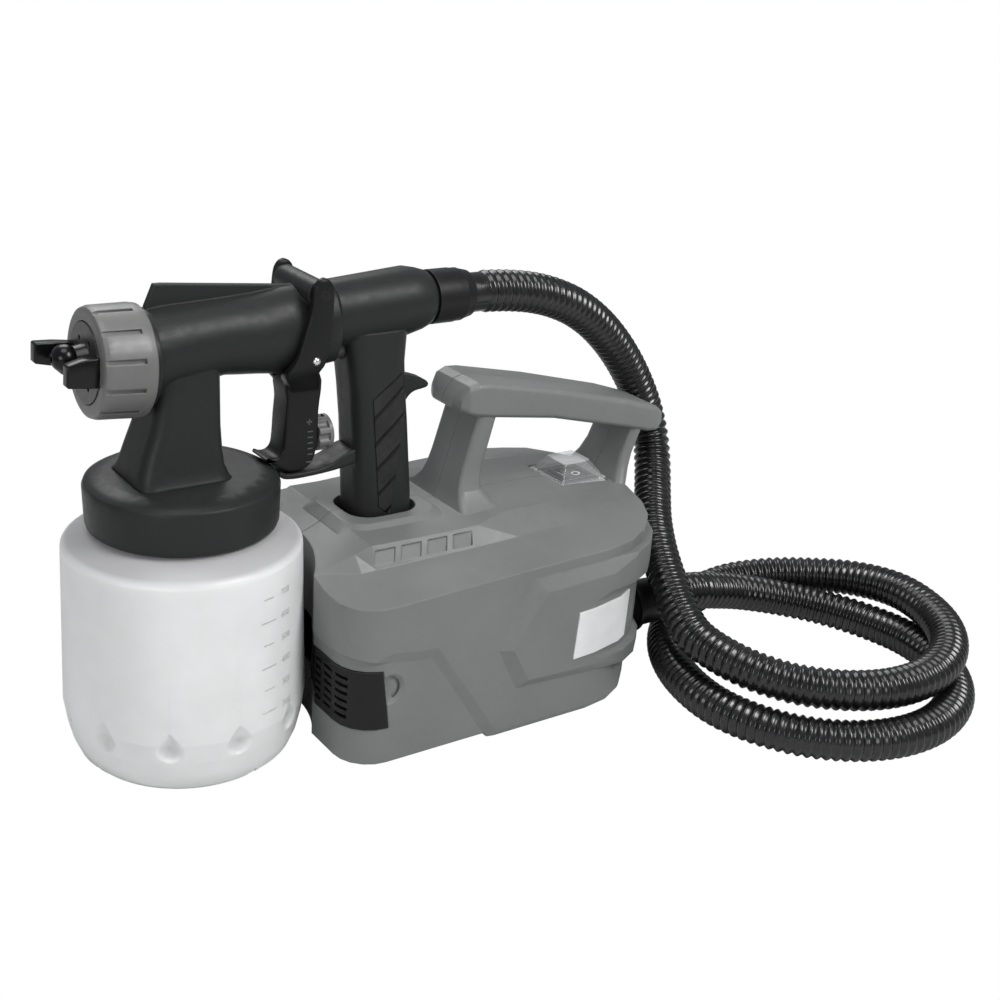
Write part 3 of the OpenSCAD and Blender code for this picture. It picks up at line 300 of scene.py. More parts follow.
def sweep(form, line, radius_at, sides):
    """A closed tube along a line; its side vector is carried along without twist."""
    side = Vector((0, 1, 0))
    rings = []
    for k, point in enumerate(line):
        ahead = (line[min(k + 1, len(line) - 1)] - line[max(k - 1, 0)]).normalized()
        side = (side - ahead * side.dot(ahead)).normalized()
        other = ahead.cross(side)
        r = radius_at(k)
        rings.append([
            form.verts.new(point + r * (math.cos(a) * side + math.sin(a) * other))
            for a in (2 * math.pi * m / sides for m in range(sides))
        ])
    for low, high in zip(rings, rings[1:]):
        for m in range(sides):
            n = (m + 1) % sides
            form.faces.new((low[m], low[n], high[n], high[m]))
    form.faces.new(list(reversed(rings[0])))
    form.faces.new(rings[-1])


def revolve(form, outline, sides, about=Matrix()):
    """Spins an outline of (radius, height) pairs round local z, and puts it in place by a matrix."""
    verts = [form.verts.new((r, 0, z)) for r, z in outline]
    edges = [form.edges.new(pair) for pair in zip(verts, verts[1:])]
    bmesh.ops.spin(form, geom=verts + edges, axis=(0, 0, 1), cent=(0, 0, 0), angle=2 * math.pi,
                   steps=sides, use_merge=True)
    bmesh.ops.transform(form, matrix=about, verts=form.verts)


def loft(form, sections):
    """A closed body: a face extruded from each section to the next, all of equally many points."""
    caps = [form.faces.new([form.verts.new(point) for point in sections[0]])]
    for section in sections[1:]:
        grown = bmesh.ops.extrude_face_region(form, geom=[caps[-1]])["geom"]
        caps.append(next(item for item in grown if isinstance(item, bmesh.types.BMFace)))
        for vert, point in zip(caps[-1].verts, section):
            vert.co = point
    bmesh.ops.delete(form, geom=caps[1:-1], context="FACES_ONLY")


def smooth_rows(rows, parts):
    """Rows between the given ones, on smooth curves through their values."""
    ends = [rows[0]] + rows + [rows[-1]]
    fine = []
    for around in zip(ends, ends[1:], ends[2:], ends[3:]):
        for k in range(parts):
            fine.append([curve_point(*values, k / parts) for values in zip(*around)])
    return fine + [rows[-1]]


def smooth_loop(points, parts=4):
    """A closed smooth outline through the given points."""
    loop = []
    for k in range(len(points)):
        around = [Vector(points[(k + j) % len(points)]) for j in (-1, 0, 1, 2)]
        loop += [curve_point(*around, j / parts) for j in range(parts)]
    return loop


def round_box(x0, x1, y0, y1, r, parts=3):
    """A rectangle with round corners, anticlockwise."""
    centres = ((x1 - r, y1 - r), (x0 + r, y1 - r), (x0 + r, y0 + r), (x1 - r, y0 + r))
    return [
        (cx + r * math.cos(a), cy + r * math.sin(a))
        for k, (cx, cy) in enumerate(centres)
        for a in (math.radians(90 * (k + j / parts)) for j in range(parts + 1))
    ]


def plate(form, outline, low, high, rim, place, steps=4):
    """A flat body with a round rim: an anticlockwise outline (a, b) that swells between two levels."""
    outward = []
    for k in range(len(outline)):
        before, after = outline[k - 1], outline[(k + 1) % len(outline)]
        outward.append(Vector((after[1] - before[1], before[0] - after[0])).normalized())
    turns = [math.radians(90 * k / steps) for k in range(steps + 1)]
    levels = [(low + rim * (1 - math.cos(t)), rim * (1 - math.sin(t))) for t in turns]
    levels += [(high - rim * (1 - math.cos(t)), rim * (1 - math.sin(t))) for t in reversed(turns)]
    loft(form, [
        [place(*(Vector(point) - inset * out), level) for point, out in zip(outline, outward)]
        for level, inset in levels
    ])


def upright(x, z, y):
    """Where a plate that stands along the mid-plane puts a point of its outline."""
    return at(x, y, z)


def close_after_cut(form, thing):
    """Closes the holes that a cut left, and gives the surface back to its object."""
    bmesh.ops.holes_fill(form, edges=[edge for edge in form.edges if edge.is_boundary])
    form.to_mesh(thing.data)
    form.free()


def trim(thing, low, high):
    """Takes away the faces of a surface that lie wholly in a box, and closes the hole."""
    form = bmesh.new()
    form.from_mesh(thing.data)
    inside = [
        face for face in form.faces
        if all(a <= c <= b for vert in face.verts for a, c, b in zip(low, vert.co, high))
    ]
    bmesh.ops.delete(form, geom=inside, context="FACES")
    close_after_cut(form, thing)


def lettering(text, height, depth):
    """Plain raised characters as a mesh form: x along the line, y up, z out, centred on x."""
    data = bpy.data.curves.new(text, "FONT")
    data.body = text
    data.size = height
    data.extrude = depth / 2
    data.align_x = "CENTER"
    data.align_y = "CENTER"
    data.resolution_u = 3
    thing = bpy.data.objects.new(text, data)
    bpy.context.scene.collection.objects.link(thing)
    bpy.context.view_layer.update()
    graph = bpy.context.evaluated_depsgraph_get()
    mesh = bpy.data.meshes.new_from_object(thing.evaluated_get(graph))
    bpy.data.objects.remove(thing)
    bpy.data.curves.remove(data)
    form = bmesh.new()
    form.from_mesh(mesh)
    bpy.data.meshes.remove(mesh)
    bmesh.ops.remove_doubles(form, verts=form.verts, dist=WELD)
    return form


# ---------- surfaces of the mouldings ----------

# Nodes with a smoother surface, and the angle in degrees up to which their facets shade as one
SOFT = {
    "housing_left": 20, "housing_right": 20, "gun_barrel": 24, "gun_handle": 24, "cup_lid": 30,
    "filter_cover": 20, "badge_plate": 20, "grip_insert": 24, "union_nut": 24, "air_cap": 24,
    "flow_knob": 24, "hose_cuff_gun": 24, "hose_cuff_base": 24, "outlet_spigot": 24,
    "fluid_nozzle": 24, "feet": 24, "rocker": 20,
}
NODE_WELD = 2e-6
FLAT_ANGLE = 0.3
# The base's side panels end at a height and lie outside a distance, and its slopes end higher up
PANEL_TOP = 84 * MM
PANEL_OUT = 50 * MM
SLOPE_TOP = 104.8 * MM
BORDER_TURN = 0.05
BORDER_LEAN = 0.3


def on_border(edge):
    """Whether an edge borders a panel or a slope of the base, and so stays crisp."""
    middle = (edge.verts[0].co + edge.verts[1].co) / 2
    line = (edge.verts[1].co - edge.verts[0].co).normalized()
    a, b = (face.normal.z for face in edge.link_faces)
    on_side = middle.z < PANEL_TOP and abs(middle.y) > PANEL_OUT
    on_slope = PANEL_TOP < middle.z < SLOPE_TOP and abs(line.x) > BORDER_LEAN
    return abs(a - b) > BORDER_TURN and (on_side or on_slope)


def soft_copy(node, limit):
    """Stands for a node: its own surface, shaded smoothly where facets meet below the limit."""
    form = bmesh.new()
    form.from_mesh(frame["nodes"][node].data)
    bmesh.ops.remove_doubles(form, verts=form.verts, dist=NODE_WELD)
    bmesh.ops.dissolve_limit(form, angle_limit=math.radians(FLAT_ANGLE), verts=form.verts,
                             edges=form.edges)
    for face in form.faces:
        face.smooth = True
    for edge in form.edges:
        edge.smooth = len(edge.link_faces) == 2 and edge.calc_face_angle(0) < math.radians(limit)
        if edge.smooth and node.startswith("housing") and on_border(edge):
            edge.smooth = False
    mesh = bpy.data.meshes.new(node + "_surface")
    form.to_mesh(mesh)
    form.free()
    copy = bpy.data.objects.new(node + "_surface", mesh)
    bpy.context.scene.collection.objects.link(copy)
    even = copy.modifiers.new("even", "WEIGHTED_NORMAL")
    even.keep_sharp = True
    mesh.materials.append(frame["nodes"][node].data.materials[0])
    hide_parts(node)
    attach(copy, BODY_OF[node])


# ---------- materials ----------

# Cosines of the angle between rounded and true normal, on a sharp edge and beside it
SHARP_COS = 0.86
FLAT_COS = 0.985


class Shader:
    """A node tree with one Principled shader and the helpers of all materials, in millimetres."""

    def __init__(self, name):
        self.material = bpy.data.materials.new(name)
        self.material.use_nodes = True
        self.tree = self.material.node_tree
        self.tree.nodes.clear()
        output = self.add("ShaderNodeOutputMaterial")
        self.surface = self.add("ShaderNodeBsdfPrincipled")
        self.link(self.surface.outputs[0], output.inputs[0])
        self.place = self.add("ShaderNodeTexCoord").outputs["Object"]

    def add(self, kind, **values):
        node = self.tree.nodes.new(kind)
        for key, value in values.items():
            setattr(node, key, value)
        return node

    def link(self, source, target):
        self.tree.links.new(source, target)

    def set(self, **values):
        for key, value in values.items():
            self.surface.inputs[key.replace("_", " ")].default_value = value

    def feed(self, name, source):
        """Links a socket to an input of the surface."""
        self.link(source, self.surface.inputs[name])

    def noise(self, size, detail, stretch=None):
        """Noise with features of the given size."""
        place = self.place
        if stretch:
            mapping = self.add("ShaderNodeMapping")
            mapping.inputs["Scale"].default_value = stretch
            self.link(place, mapping.inputs["Vector"])
            place = mapping.outputs[0]
        node = self.add("ShaderNodeTexNoise")
        node.inputs["Scale"].default_value = 1 / (size * MM)
        node.inputs["Detail"].default_value = detail
        self.link(place, node.inputs["Vector"])
        return node.outputs["Fac"]

    def ramp(self, source, low, high, from_low=0.3, from_high=0.7):
        """A value that goes from low to high while its source goes from from_low to from_high."""
        node = self.add("ShaderNodeMapRange")
        self.link(source, node.inputs["Value"])
        ends = {"From Min": from_low, "From Max": from_high, "To Min": low, "To Max": high}
        for key, value in ends.items():
            node.inputs[key].default_value = value
        return node.outputs["Result"]

    def blend(self, factor, a, b):
        """A colour between two colours or sockets; 6, 7 and 2 are the node's colour sockets."""
        node = self.add("ShaderNodeMix", data_type="RGBA")
        self.link(factor, node.inputs[0])
        for value, socket in ((a, node.inputs[6]), (b, node.inputs[7])):
            if isinstance(value, tuple):
                socket.default_value = (*value, 1)
            else:
                self.link(value, socket)
        return node.outputs[2]

    def mottle(self, size, detail, a, b):
        """A colour that wanders between two."""
        return self.blend(self.ramp(self.noise(size, detail), 0, 1), a, b)

    def rounded(self, radius):
        """The surface's normal with its edges rounded by radius."""
        node = self.add("ShaderNodeBevel", samples=6)
        node.inputs["Radius"].default_value = radius * MM
        return node.outputs[0]

    def edges(self, radius):
        """1 on sharp edges and 0 on flat places."""
        bevel = self.rounded(radius)
        dot = self.add("ShaderNodeVectorMath", operation="DOT_PRODUCT")
        self.link(bevel, dot.inputs[0])
        self.link(self.add("ShaderNodeNewGeometry").outputs["Normal"], dot.inputs[1])
        return self.ramp(dot.outputs["Value"], 1, 0, SHARP_COS, FLAT_COS)

    def bump(self, height, depth, normal=None):
        """A normal that follows heights of the given depth, on top of another normal."""
        node = self.add("ShaderNodeBump")
        node.inputs["Distance"].default_value = depth * MM
        self.link(height, node.inputs["Height"])
        if normal:
            self.link(normal, node.inputs["Normal"])
        return node.outputs[0]


def tint(colour, share):
    """A lighter or darker colour."""
    return tuple(min(1, c * share) for c in colour)


GRAIN_SIZE = 0.45
GRAIN_DEPTH = 0.03
FLOW_SIZE = 45
FLECK_SIZE = 4
# Patch size and edge width of the pale edges, which are partly wear and partly a painted highlight
EDGE_WEAR_AND_HIGHLIGHT_SIZE = 12
EDGE_WEAR_AND_HIGHLIGHT_WIDTH = 0.9


def moulded(name, colour, roughness, rounding=1.2, edge_wear_and_highlight=0.3, sheen=0.5):
    """Moulded plastic: fine grain, faint flow marks, rounded edges, and edges made paler partly by
    rubbing and partly by a painted highlight.
    """
    s = Shader(name)
    fleck = s.noise(FLECK_SIZE, 4)
    base = s.mottle(FLOW_SIZE, 3, tint(colour, 0.93), tint(colour, 1.07))
    base = s.blend(s.ramp(fleck, 0, 0.4), base, tint(colour, 1.12))
    # Edges turn paler in patches: partly wear, partly a painted highlight
    worn_and_highlit_edge = s.add("ShaderNodeMath", operation="MULTIPLY")
    s.link(s.edges(EDGE_WEAR_AND_HIGHLIGHT_WIDTH), worn_and_highlit_edge.inputs[0])
    s.link(s.ramp(s.noise(EDGE_WEAR_AND_HIGHLIGHT_SIZE, 5), 0, edge_wear_and_highlight), worn_and_highlit_edge.inputs[1])
    worn_highlight_pale = tuple(mix(c, 0.5, 0.35) for c in colour)
    s.feed("Base Color", s.blend(worn_and_highlit_edge.outputs[0], base, worn_highlight_pale))
    s.feed("Roughness", s.ramp(fleck, roughness - 0.05, roughness + 0.06))
    normal = s.rounded(rounding) if rounding else None
    s.feed("Normal", s.bump(s.noise(GRAIN_SIZE, 1), GRAIN_DEPTH, normal))
    s.set(Specular_IOR_Level=sheen)
    return s.material


# The cup turns greyer between these heights: painted shade under the lid
SHOULDER_SHADE_Z = (104.4, 107.6)


def cup_plastic():
    """Milky cup plastic that lets some light through, with painted shade on its shoulder."""
    s = Shader("milky_cup")
    wall = s.mottle(30, 3, (0.80, 0.80, 0.79), (0.88, 0.88, 0.87))
    height = s.add("ShaderNodeSeparateXYZ")
    s.link(s.place, height.inputs[0])
    shade = s.ramp(height.outputs["Z"], 0, 1, SHOULDER_SHADE_Z[0] * MM, SHOULDER_SHADE_Z[1] * MM)
    # Shoulder and neck painted grey: a painted shade under the lid
    s.feed("Base Color", s.blend(shade, wall, (0.46, 0.455, 0.46)))
    s.set(Subsurface_Weight=0.35, Subsurface_Scale=0.012, Subsurface_Radius=(1, 0.95, 0.9), IOR=1.5)
    s.feed("Roughness", s.ramp(s.noise(6, 4), 0.3, 0.42))
    s.feed("Normal", s.bump(s.noise(20, 2), 0.12, s.rounded(1.2)))
    return s.material


def hose_rubber():
    """Glossy black hose with a little dust in its grooves."""
    s = Shader("hose_black")
    dust = s.ramp(s.noise(20, 5), 0, 0.7)
    s.feed("Base Color", s.blend(dust, (0.004, 0.004, 0.0045), (0.014, 0.014, 0.014)))
    s.feed("Roughness", s.ramp(s.noise(5, 4), 0.16, 0.3))
    s.feed("Normal", s.bump(s.noise(1.2, 2), 0.02))
    s.set(Specular_IOR_Level=0.6)
    return s.material


def bright_metal(name, colour, roughness, brush=(1, 1, 1), metallic=1.0):
    """Metal with fine brush lines that are narrow along an axis with a large brush value."""
    s = Shader(name)
    s.set(Metallic=metallic)
    s.feed("Base Color", s.mottle(10, 4, tint(colour, 0.92), colour))
    lines = s.noise(0.5, 3, brush)
    s.feed("Roughness", s.ramp(lines, roughness - 0.06, roughness + 0.1))
    s.feed("Normal", s.bump(lines, 0.01, s.rounded(0.4)))
    return s.material


BOOT_WALL_ALPHA = 0.12
BOOT_ROOF_ALPHA = 0.5
BOOT_HIGHLIGHT_EDGE_ALPHA = 0.75


def clear_boot():
    """Clear soft cover: see-through walls, a hazy roof, and edges made opaque and pale as a painted
    highlight.
    """
    s = Shader("boot_clear")
    s.feed("Base Color", s.mottle(8, 3, (0.78, 0.8, 0.8), (0.9, 0.9, 0.9)))
    tilt = s.add("ShaderNodeSeparateXYZ")
    s.link(s.add("ShaderNodeNewGeometry").outputs["True Normal"], tilt.inputs[0])
    roof = s.ramp(tilt.outputs["Z"], BOOT_WALL_ALPHA, BOOT_ROOF_ALPHA, 0.85, 0.95)
    opaque = s.add("ShaderNodeMath", operation="ADD", use_clamp=True)
    # Opaque pale edges: a painted highlight
    s.link(s.ramp(s.edges(0.7), 0, BOOT_HIGHLIGHT_EDGE_ALPHA, 0.1, 0.8), opaque.inputs[0])
    s.link(roof, opaque.inputs[1])
    s.feed("Alpha", opaque.outputs[0])
    s.feed("Roughness", s.ramp(s.noise(4, 4), 0.05, 0.14))
    s.set(Coat_Weight=0.4)
    return s.material


GROOVE_LEAN = 42
GROOVE_PITCH = 10.5
GROOVE_DEPTH = 1.2
# Distances from a groove's middle between which its flank rises
GROOVE_FLANK = (0.5, 1.3)


def grip_rubber():
    """Dark grip rubber with slanted grooves, and painted shade in them."""
    s = Shader("grip_rubber")
    place = s.add("ShaderNodeSeparateXYZ")
    s.link(s.place, place.inputs[0])
    lean = math.radians(GROOVE_LEAN)
    across = s.add("ShaderNodeMath", operation="MULTIPLY")
    s.link(place.outputs["X"], across.inputs[0])
    across.inputs[1].default_value = -math.sin(lean)
    rise = s.add("ShaderNodeMath", operation="MULTIPLY_ADD")
    s.link(place.outputs["Z"], rise.inputs[0])
    rise.inputs[1].default_value = math.cos(lean)
    s.link(across.outputs[0], rise.inputs[2])
    wave = s.add("ShaderNodeMath", operation="PINGPONG")
    s.link(rise.outputs[0], wave.inputs[0])
    wave.inputs[1].default_value = GROOVE_PITCH / 2 * MM
    land_height_and_groove_shade = s.ramp(wave.outputs[0], 0, 1, GROOVE_FLANK[0] * MM, GROOVE_FLANK[1] * MM)
    rubber = s.mottle(10, 4, (0.013, 0.013, 0.014), (0.021, 0.021, 0.021))
    # Groove bottoms are painted near black: painted shade in grooves that are only a bump
    s.feed("Base Color", s.blend(land_height_and_groove_shade, (0.004, 0.004, 0.004), rubber))
    s.feed("Roughness", s.ramp(s.noise(3, 4), 0.45, 0.6))
    fine = s.bump(s.noise(0.6, 2), 0.04)
    s.feed("Normal", s.bump(land_height_and_groove_shade, GROOVE_DEPTH, fine))
    s.set(Specular_IOR_Level=0.35)
    return s.material


def dark_rubber():
    """Dull black rubber of the feet and seals."""
    s = Shader("dark_rubber")
    s.feed("Base Color", s.mottle(10, 4, (0.010, 0.010, 0.011), (0.02, 0.02, 0.02)))
    s.feed("Roughness", s.ramp(s.noise(3, 4), 0.6, 0.8))
    s.feed("Normal", s.bump(s.noise(0.6, 2), 0.06, s.rounded(0.5)))
    return s.material


FOAM_CELLS_PER_METRE = 900


def filter_mat():
    """Black foam with open cells, their pores darkened by painted shade."""
    s = Shader("filter_foam")
    cells = s.add("ShaderNodeTexVoronoi")
    cells.inputs["Scale"].default_value = FOAM_CELLS_PER_METRE
    s.link(s.place, cells.inputs["Vector"])
    wall = s.ramp(cells.outputs["Distance"], 0, 1, 0, 0.6)
    # Cell middles are darker than their walls: painted shade in the open pores
    s.feed("Base Color", s.blend(wall, (0.01, 0.01, 0.01), (0.05, 0.05, 0.05)))
    s.feed("Normal", s.bump(cells.outputs["Distance"], 0.5))
    s.set(Roughness=0.95)
    return s.material


def winding_copper():
    """Copper wire wound round an axis along Z."""
    s = Shader("winding_copper")
    s.set(Metallic=0.9, Roughness=0.35)
    wires = s.noise(0.6, 2, (1, 1, 12))
    s.feed("Base Color", s.blend(s.ramp(wires, 0, 1), (0.45, 0.16, 0.07), (0.75, 0.32, 0.15)))
    s.feed("Normal", s.bump(wires, 0.15))
    return s.material


BASE_GREY = (0.168, 0.172, 0.170)
GUN_GREY = (0.019, 0.0197, 0.0197)
TRIGGER_BLACK = (0.0085, 0.0088, 0.009)
PART_BLACK = (0.009, 0.009, 0.0095)
SHINY_BLACK = (0.0035, 0.0035, 0.004)
NUT_GREY = (0.135, 0.135, 0.131)
TAIL_GREY = (0.055, 0.055, 0.054)
CAP_GREY = (0.03, 0.03, 0.031)
TUBE_WHITE = (0.7, 0.7, 0.68)
STEEL = (0.72, 0.72, 0.71)
BARE_PLATE = (0.86, 0.86, 0.86)
CAST_METAL = (0.6, 0.6, 0.6)


def dress_nodes():
    """Gives every node of the solids its finish, and says which materials there are."""
    base = moulded("base_grey", BASE_GREY, 0.42, rounding=1.0, edge_wear_and_highlight=0.35)
    gun = moulded("gun_charcoal", GUN_GREY, 0.4, rounding=1.4, edge_wear_and_highlight=0.2, sheen=0.22)
    trigger = moulded("trigger_black", TRIGGER_BLACK, 0.36, rounding=1.2, edge_wear_and_highlight=0.25, sheen=0.22)
    black = moulded("part_black", PART_BLACK, 0.4, rounding=0.5, edge_wear_and_highlight=0.25, sheen=0.25)
    gloss = moulded("shiny_black", SHINY_BLACK, 0.2, rounding=0.6, edge_wear_and_highlight=0.15, sheen=0.3)
    nut = moulded("nut_light", NUT_GREY, 0.38, rounding=0.7, edge_wear_and_highlight=0.4)
    tail = moulded("tail_grey", TAIL_GREY, 0.4, rounding=0.5, edge_wear_and_highlight=0.2)
    disc = moulded("cap_grey", CAP_GREY, 0.3, rounding=0.6, edge_wear_and_highlight=0.2)
    tube = moulded("tube_white", TUBE_WHITE, 0.35, rounding=0, edge_wear_and_highlight=0.1)
    rubber = dark_rubber()
    steel = bright_metal("bright_steel", STEEL, 0.22)
    brushed = bright_metal("brushed_plate", BARE_PLATE, 0.42, (1, 1, 14), 0.2)
    cast = bright_metal("cast_aluminium", CAST_METAL, 0.5)
    finishes = {
        base: ("housing_left", "housing_right"),
        gun: ("gun_barrel", "cup_lid", "gun_handle"),
        trigger: ("trigger",),
        tail: ("spring_cap",),
        black: ("filter_cover", "switch_body", "trigger_pin", "cord_gland", "outlet_spigot",
                "hose_cuff_gun", "hose_cuff_base", "motor_brushes"),
        gloss: ("fluid_nozzle", "rocker"),
        disc: ("air_cap",),
        nut: ("union_nut", "flow_knob"),
        tube: ("suction_tube",),
        rubber: ("feet", "cup_seal", "motor_mounts"),
        grip_rubber(): ("grip_insert",),
        steel: ("housing_screws", "needle", "needle_pin", "needle_spring", "rotor_shaft",
                "motor_bearings"),
        brushed: ("badge_plate",),
        cast: ("turbine_casing", "turbine_fan", "motor_bracket"),
        cup_plastic(): ("cup",),
        clear_boot(): ("switch_boot",),
        filter_mat(): ("filter_foam",),
        winding_copper(): ("motor_stator", "commutator"),
        hose_rubber(): ("hose",),
    }
    for material, names in finishes.items():
        for name in names:
            mesh = frame["nodes"][name].data
            mesh.materials.clear()
            mesh.materials.append(material)
    for name, limit in SOFT.items():
        soft_copy(name, limit)
    return {m.name: m for m in finishes}


# ---------- cup and its scale ----------

CUP_AT = at(-130, 0, 0)
CUP_WALL_R = 56.6
CUP_TAPER = 1.8
CUP_FULL_R_Z = 25.5
CUP_TAPER_TOP = 102.5
# Outline of the cup in radius and height: outside from the foot to the neck, then back inside
CUP_OUTSIDE = [
    (0, 1.6), (41, 1.6), (42.5, 0.2), (47, 0.2), (50.4, 3.4), (53.2, 10), (55.2, 18.4), (56.3, 26.4),
    (56.57, 28), (54.8, 103.6), (54.6, 104.9), (54, 105.9), (52.9, 106.8), (50.4, 108.6),
    (45.8, 111), (42.6, 112.2), (41.2, 113), (39.5, 113.4), (39.5, 130), (37.5, 130),
]
CUP_INSIDE = [
    (37.5, 110.9), (45.2, 109.5), (49.4, 107.7), (51.6, 104.9), (52.8, 101.5), (54.2, 28), (53, 19),
    (51, 11.4), (48.4, 6), (45.4, 3.6), (0, 3.6),
]
CUP_SIDES = 528
# Only the outer wall lies beyond the first radius, and low down only the standing ring beyond the second
OUTER_WALL_R = 54.5
RING_R = 41.5
# Notches in the standing ring, this wide either side of their middle
NOTCH_STEP = 90
NOTCH_FIRST = 15
NOTCH_HALF = 3.4
NOTCH_RISE = 4.2
NOTCH_TOP = 4
NOTCH_SQUASH = 0.2
# Teardrop dimples round the wall, wide below and pointed above
DIMPLES = 11
DIMPLE_FROM = 239.3
DIMPLE_LOW = 19.5
DIMPLE_WIDEST = 25
DIMPLE_HIGH = 34.5
DIMPLE_HALF = 6.3
DIMPLE_DEPTH = 2.0
DIMPLE_ROW = 0.7


def off_nearest(angle, first, step):
    """Degrees from an angle to the nearest of those that follow the first one by a step each."""
    return abs((angle - first + step / 2) % step - step / 2)


def dimple_depth(angle, z):
    """How far a dimple sinks the cup's wall at an angle and height."""
    if not DIMPLE_LOW < z < DIMPLE_HIGH:
        return 0
    if z < DIMPLE_WIDEST:
        share = math.sqrt(1 - ((DIMPLE_WIDEST - z) / (DIMPLE_WIDEST - DIMPLE_LOW)) ** 2)
    else:
        share = 1 - ((z - DIMPLE_WIDEST) / (DIMPLE_HIGH - DIMPLE_WIDEST)) ** 1.5
    off = math.radians(off_nearest(angle, DIMPLE_FROM, 360 / DIMPLES)) * CUP_WALL_R
    side = off / (DIMPLE_HALF * share)
    return DIMPLE_DEPTH * share ** 0.7 * max(0, 1 - side ** 2) ** 0.8


def notch_lift(angle, z):
    """Height of the standing ring's point at an angle, where a notch may lift it."""
    rise = NOTCH_RISE * (1 - off_nearest(angle, NOTCH_FIRST, NOTCH_STEP) / NOTCH_HALF)
    return max(z, min(rise, NOTCH_TOP) + NOTCH_SQUASH * z) if rise > 0 else z


def press_cup(form):
    """Presses the dimples into a plain cup's outer wall, and the notches into its standing ring."""
    for vert in form.verts:
        x, y, z = vert.co
        r = math.hypot(x, y)
        angle = math.degrees(math.atan2(y, x))
        if r > OUTER_WALL_R:
            share = 1 - dimple_depth(angle, z) / r
            vert.co = (x * share, y * share, z)
        elif r > RING_R and z < NOTCH_TOP:
            vert.co.z = notch_lift(angle, z)


def close_rows(outline, low, high, step):
    """An outline of (radius, height) pairs with more points where it passes between two heights."""
    fine = []
    for (r0, z0), (r1, z1) in zip(outline, outline[1:]):
        fine.append((r0, z0))
        if z0 < high and z1 > low:
            end = min(z1, high)
            count = math.ceil((end - z0) / step)
            rows = [mix(z0, end, k / count) for k in range(1, count)]
            fine += [(mix(r0, r1, (z - z0) / (z1 - z0)), z) for z in rows]
    return fine + [outline[-1]]


def make_cup(material):
    """The cup with its notched foot and a ring of teardrop dimples."""
    outside = close_rows(CUP_OUTSIDE, DIMPLE_LOW - 2, DIMPLE_HIGH + 1, DIMPLE_ROW)
    form = bmesh.new()
    revolve(form, outside + CUP_INSIDE, CUP_SIDES)
    press_cup(form)
    bmesh.ops.transform(form, matrix=placed(CUP_AT), verts=form.verts)
    cup = finish_piece("cup_surface", form, material, "cup", 24)
    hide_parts("cup")


SCALE_ANGLE = -59
TICK_ANGLE = -71
SCALE_LOW = 36
SCALE_STEP = 11.3
SCALE_COUNT = 6
SCALE_FIRST = 200
SCALE_ML = 100
NUMBER_TALL = 4.6
NUMBER_DEEP = 0.45
TICK_LONG = 9
TICK_SHORT = 6
TICK_TALL = 0.6
TICK_DEEP = 0.4
MARK_SINK = 0.12


def cup_radius(z):
    """The cup's outer radius at a height of its tapered wall."""
    return CUP_WALL_R - CUP_TAPER * (z - CUP_FULL_R_Z) / (CUP_TAPER_TOP - CUP_FULL_R_Z)


def wrap_on_cup(form, angle, height):
    """Bends a flat form (millimetres, z out) round the cup's wall at an angle and height."""
    for vert in form.verts:
        x, y, out = vert.co
        z = height + y
        r = cup_radius(z) - MARK_SINK + out
        a = math.radians(angle) + x / r
        vert.co = CUP_AT + Vector((r * math.cos(a), r * math.sin(a), z)) * MM


def bar_form(wide, tall, deep, parts=8):
    """A flat bar, cut across so that it can bend."""
    form = bmesh.new()
    bmesh.ops.create_cube(form, size=1, matrix=Matrix.Diagonal((wide, tall, deep, 1)))
    for k in range(1, parts):
        plane = (wide * (k / parts - 0.5), 0, 0)
        bmesh.ops.bisect_plane(form, geom=form.verts[:] + form.edges[:] + form.faces[:],
                               plane_co=plane, plane_no=(1, 0, 0))
    return form


def make_cup_scale(material):
    """Moulded marks for each hundred millilitres."""
    parts = []
    for k in range(SCALE_COUNT):
        height = SCALE_LOW + SCALE_STEP * k
        number = lettering(str(SCALE_FIRST + SCALE_ML * k), NUMBER_TALL, NUMBER_DEEP)
        wrap_on_cup(number, SCALE_ANGLE, height)
        tick = bar_form(TICK_SHORT if k % 2 else TICK_LONG, TICK_TALL, TICK_DEEP)
        wrap_on_cup(tick, TICK_ANGLE, height)
        parts += [number, tick]
    merge_forms("cup_scale", parts, material, "cup_body")


# ---------- spray head ----------

NUT_X = -161
SPRAY_Z = 193.4
PITCH = 3
CAP_FACE_U = -12.5
HORN_IN = 12.2
HORN_OUT = 17.8
HORN_ROOT = 11.7
HORN_EDGE = 0.8
# The two horns from the side, behind the middle of the nut and above the spray axis
FAR_HORN = [
    (-11, 5.4), (-20.5, 6.2), (-28.6, 6.2), (-29.3, 5.5), (-29.3, -2.3), (-28.6, -3), (-20.9, -4.4),
    (-11, -6.4),
]
NEAR_HORN = [
    (-11, 7), (-13.5, 7), (-19.4, 6.3), (-25.2, 4.4), (-25.8, 3.6), (-25.8, -4.7), (-25, -5.4),
    (-11, -6.2),
]
BALL_U = -20.7
BALL_RISE = 2.6
BALL_R = 6.0
BALL_REAR = 135
BALL_STEPS = 18
BALL_HOLE = 1.7
BALL_HOLE_FLOOR = 3.4
BALL_STEM_R = 4.25
BALL_STEM_END = -5.4
PIN_U = 87.5
PIN_END = 21.3
# Half the pin's outline: radius, and how far past the rim of its domed end
PIN_DOME = [(0, 1.1), (0.9, 0.9), (1.6, 0.4), (2.2, -0.5)]


def axis_place(u):
    """Point on the spray axis, u behind the middle of the nut."""
    p = math.radians(PITCH)
    return at(NUT_X + u * math.cos(p), 0, SPRAY_Z - u * math.sin(p))


def on_axis(u, w, side):
    """A place u behind the middle of the nut, w above the spray axis and side across it."""
    p = math.radians(PITCH)
    return axis_place(u) + Vector((w * math.sin(p), side, w * math.cos(p))) * MM


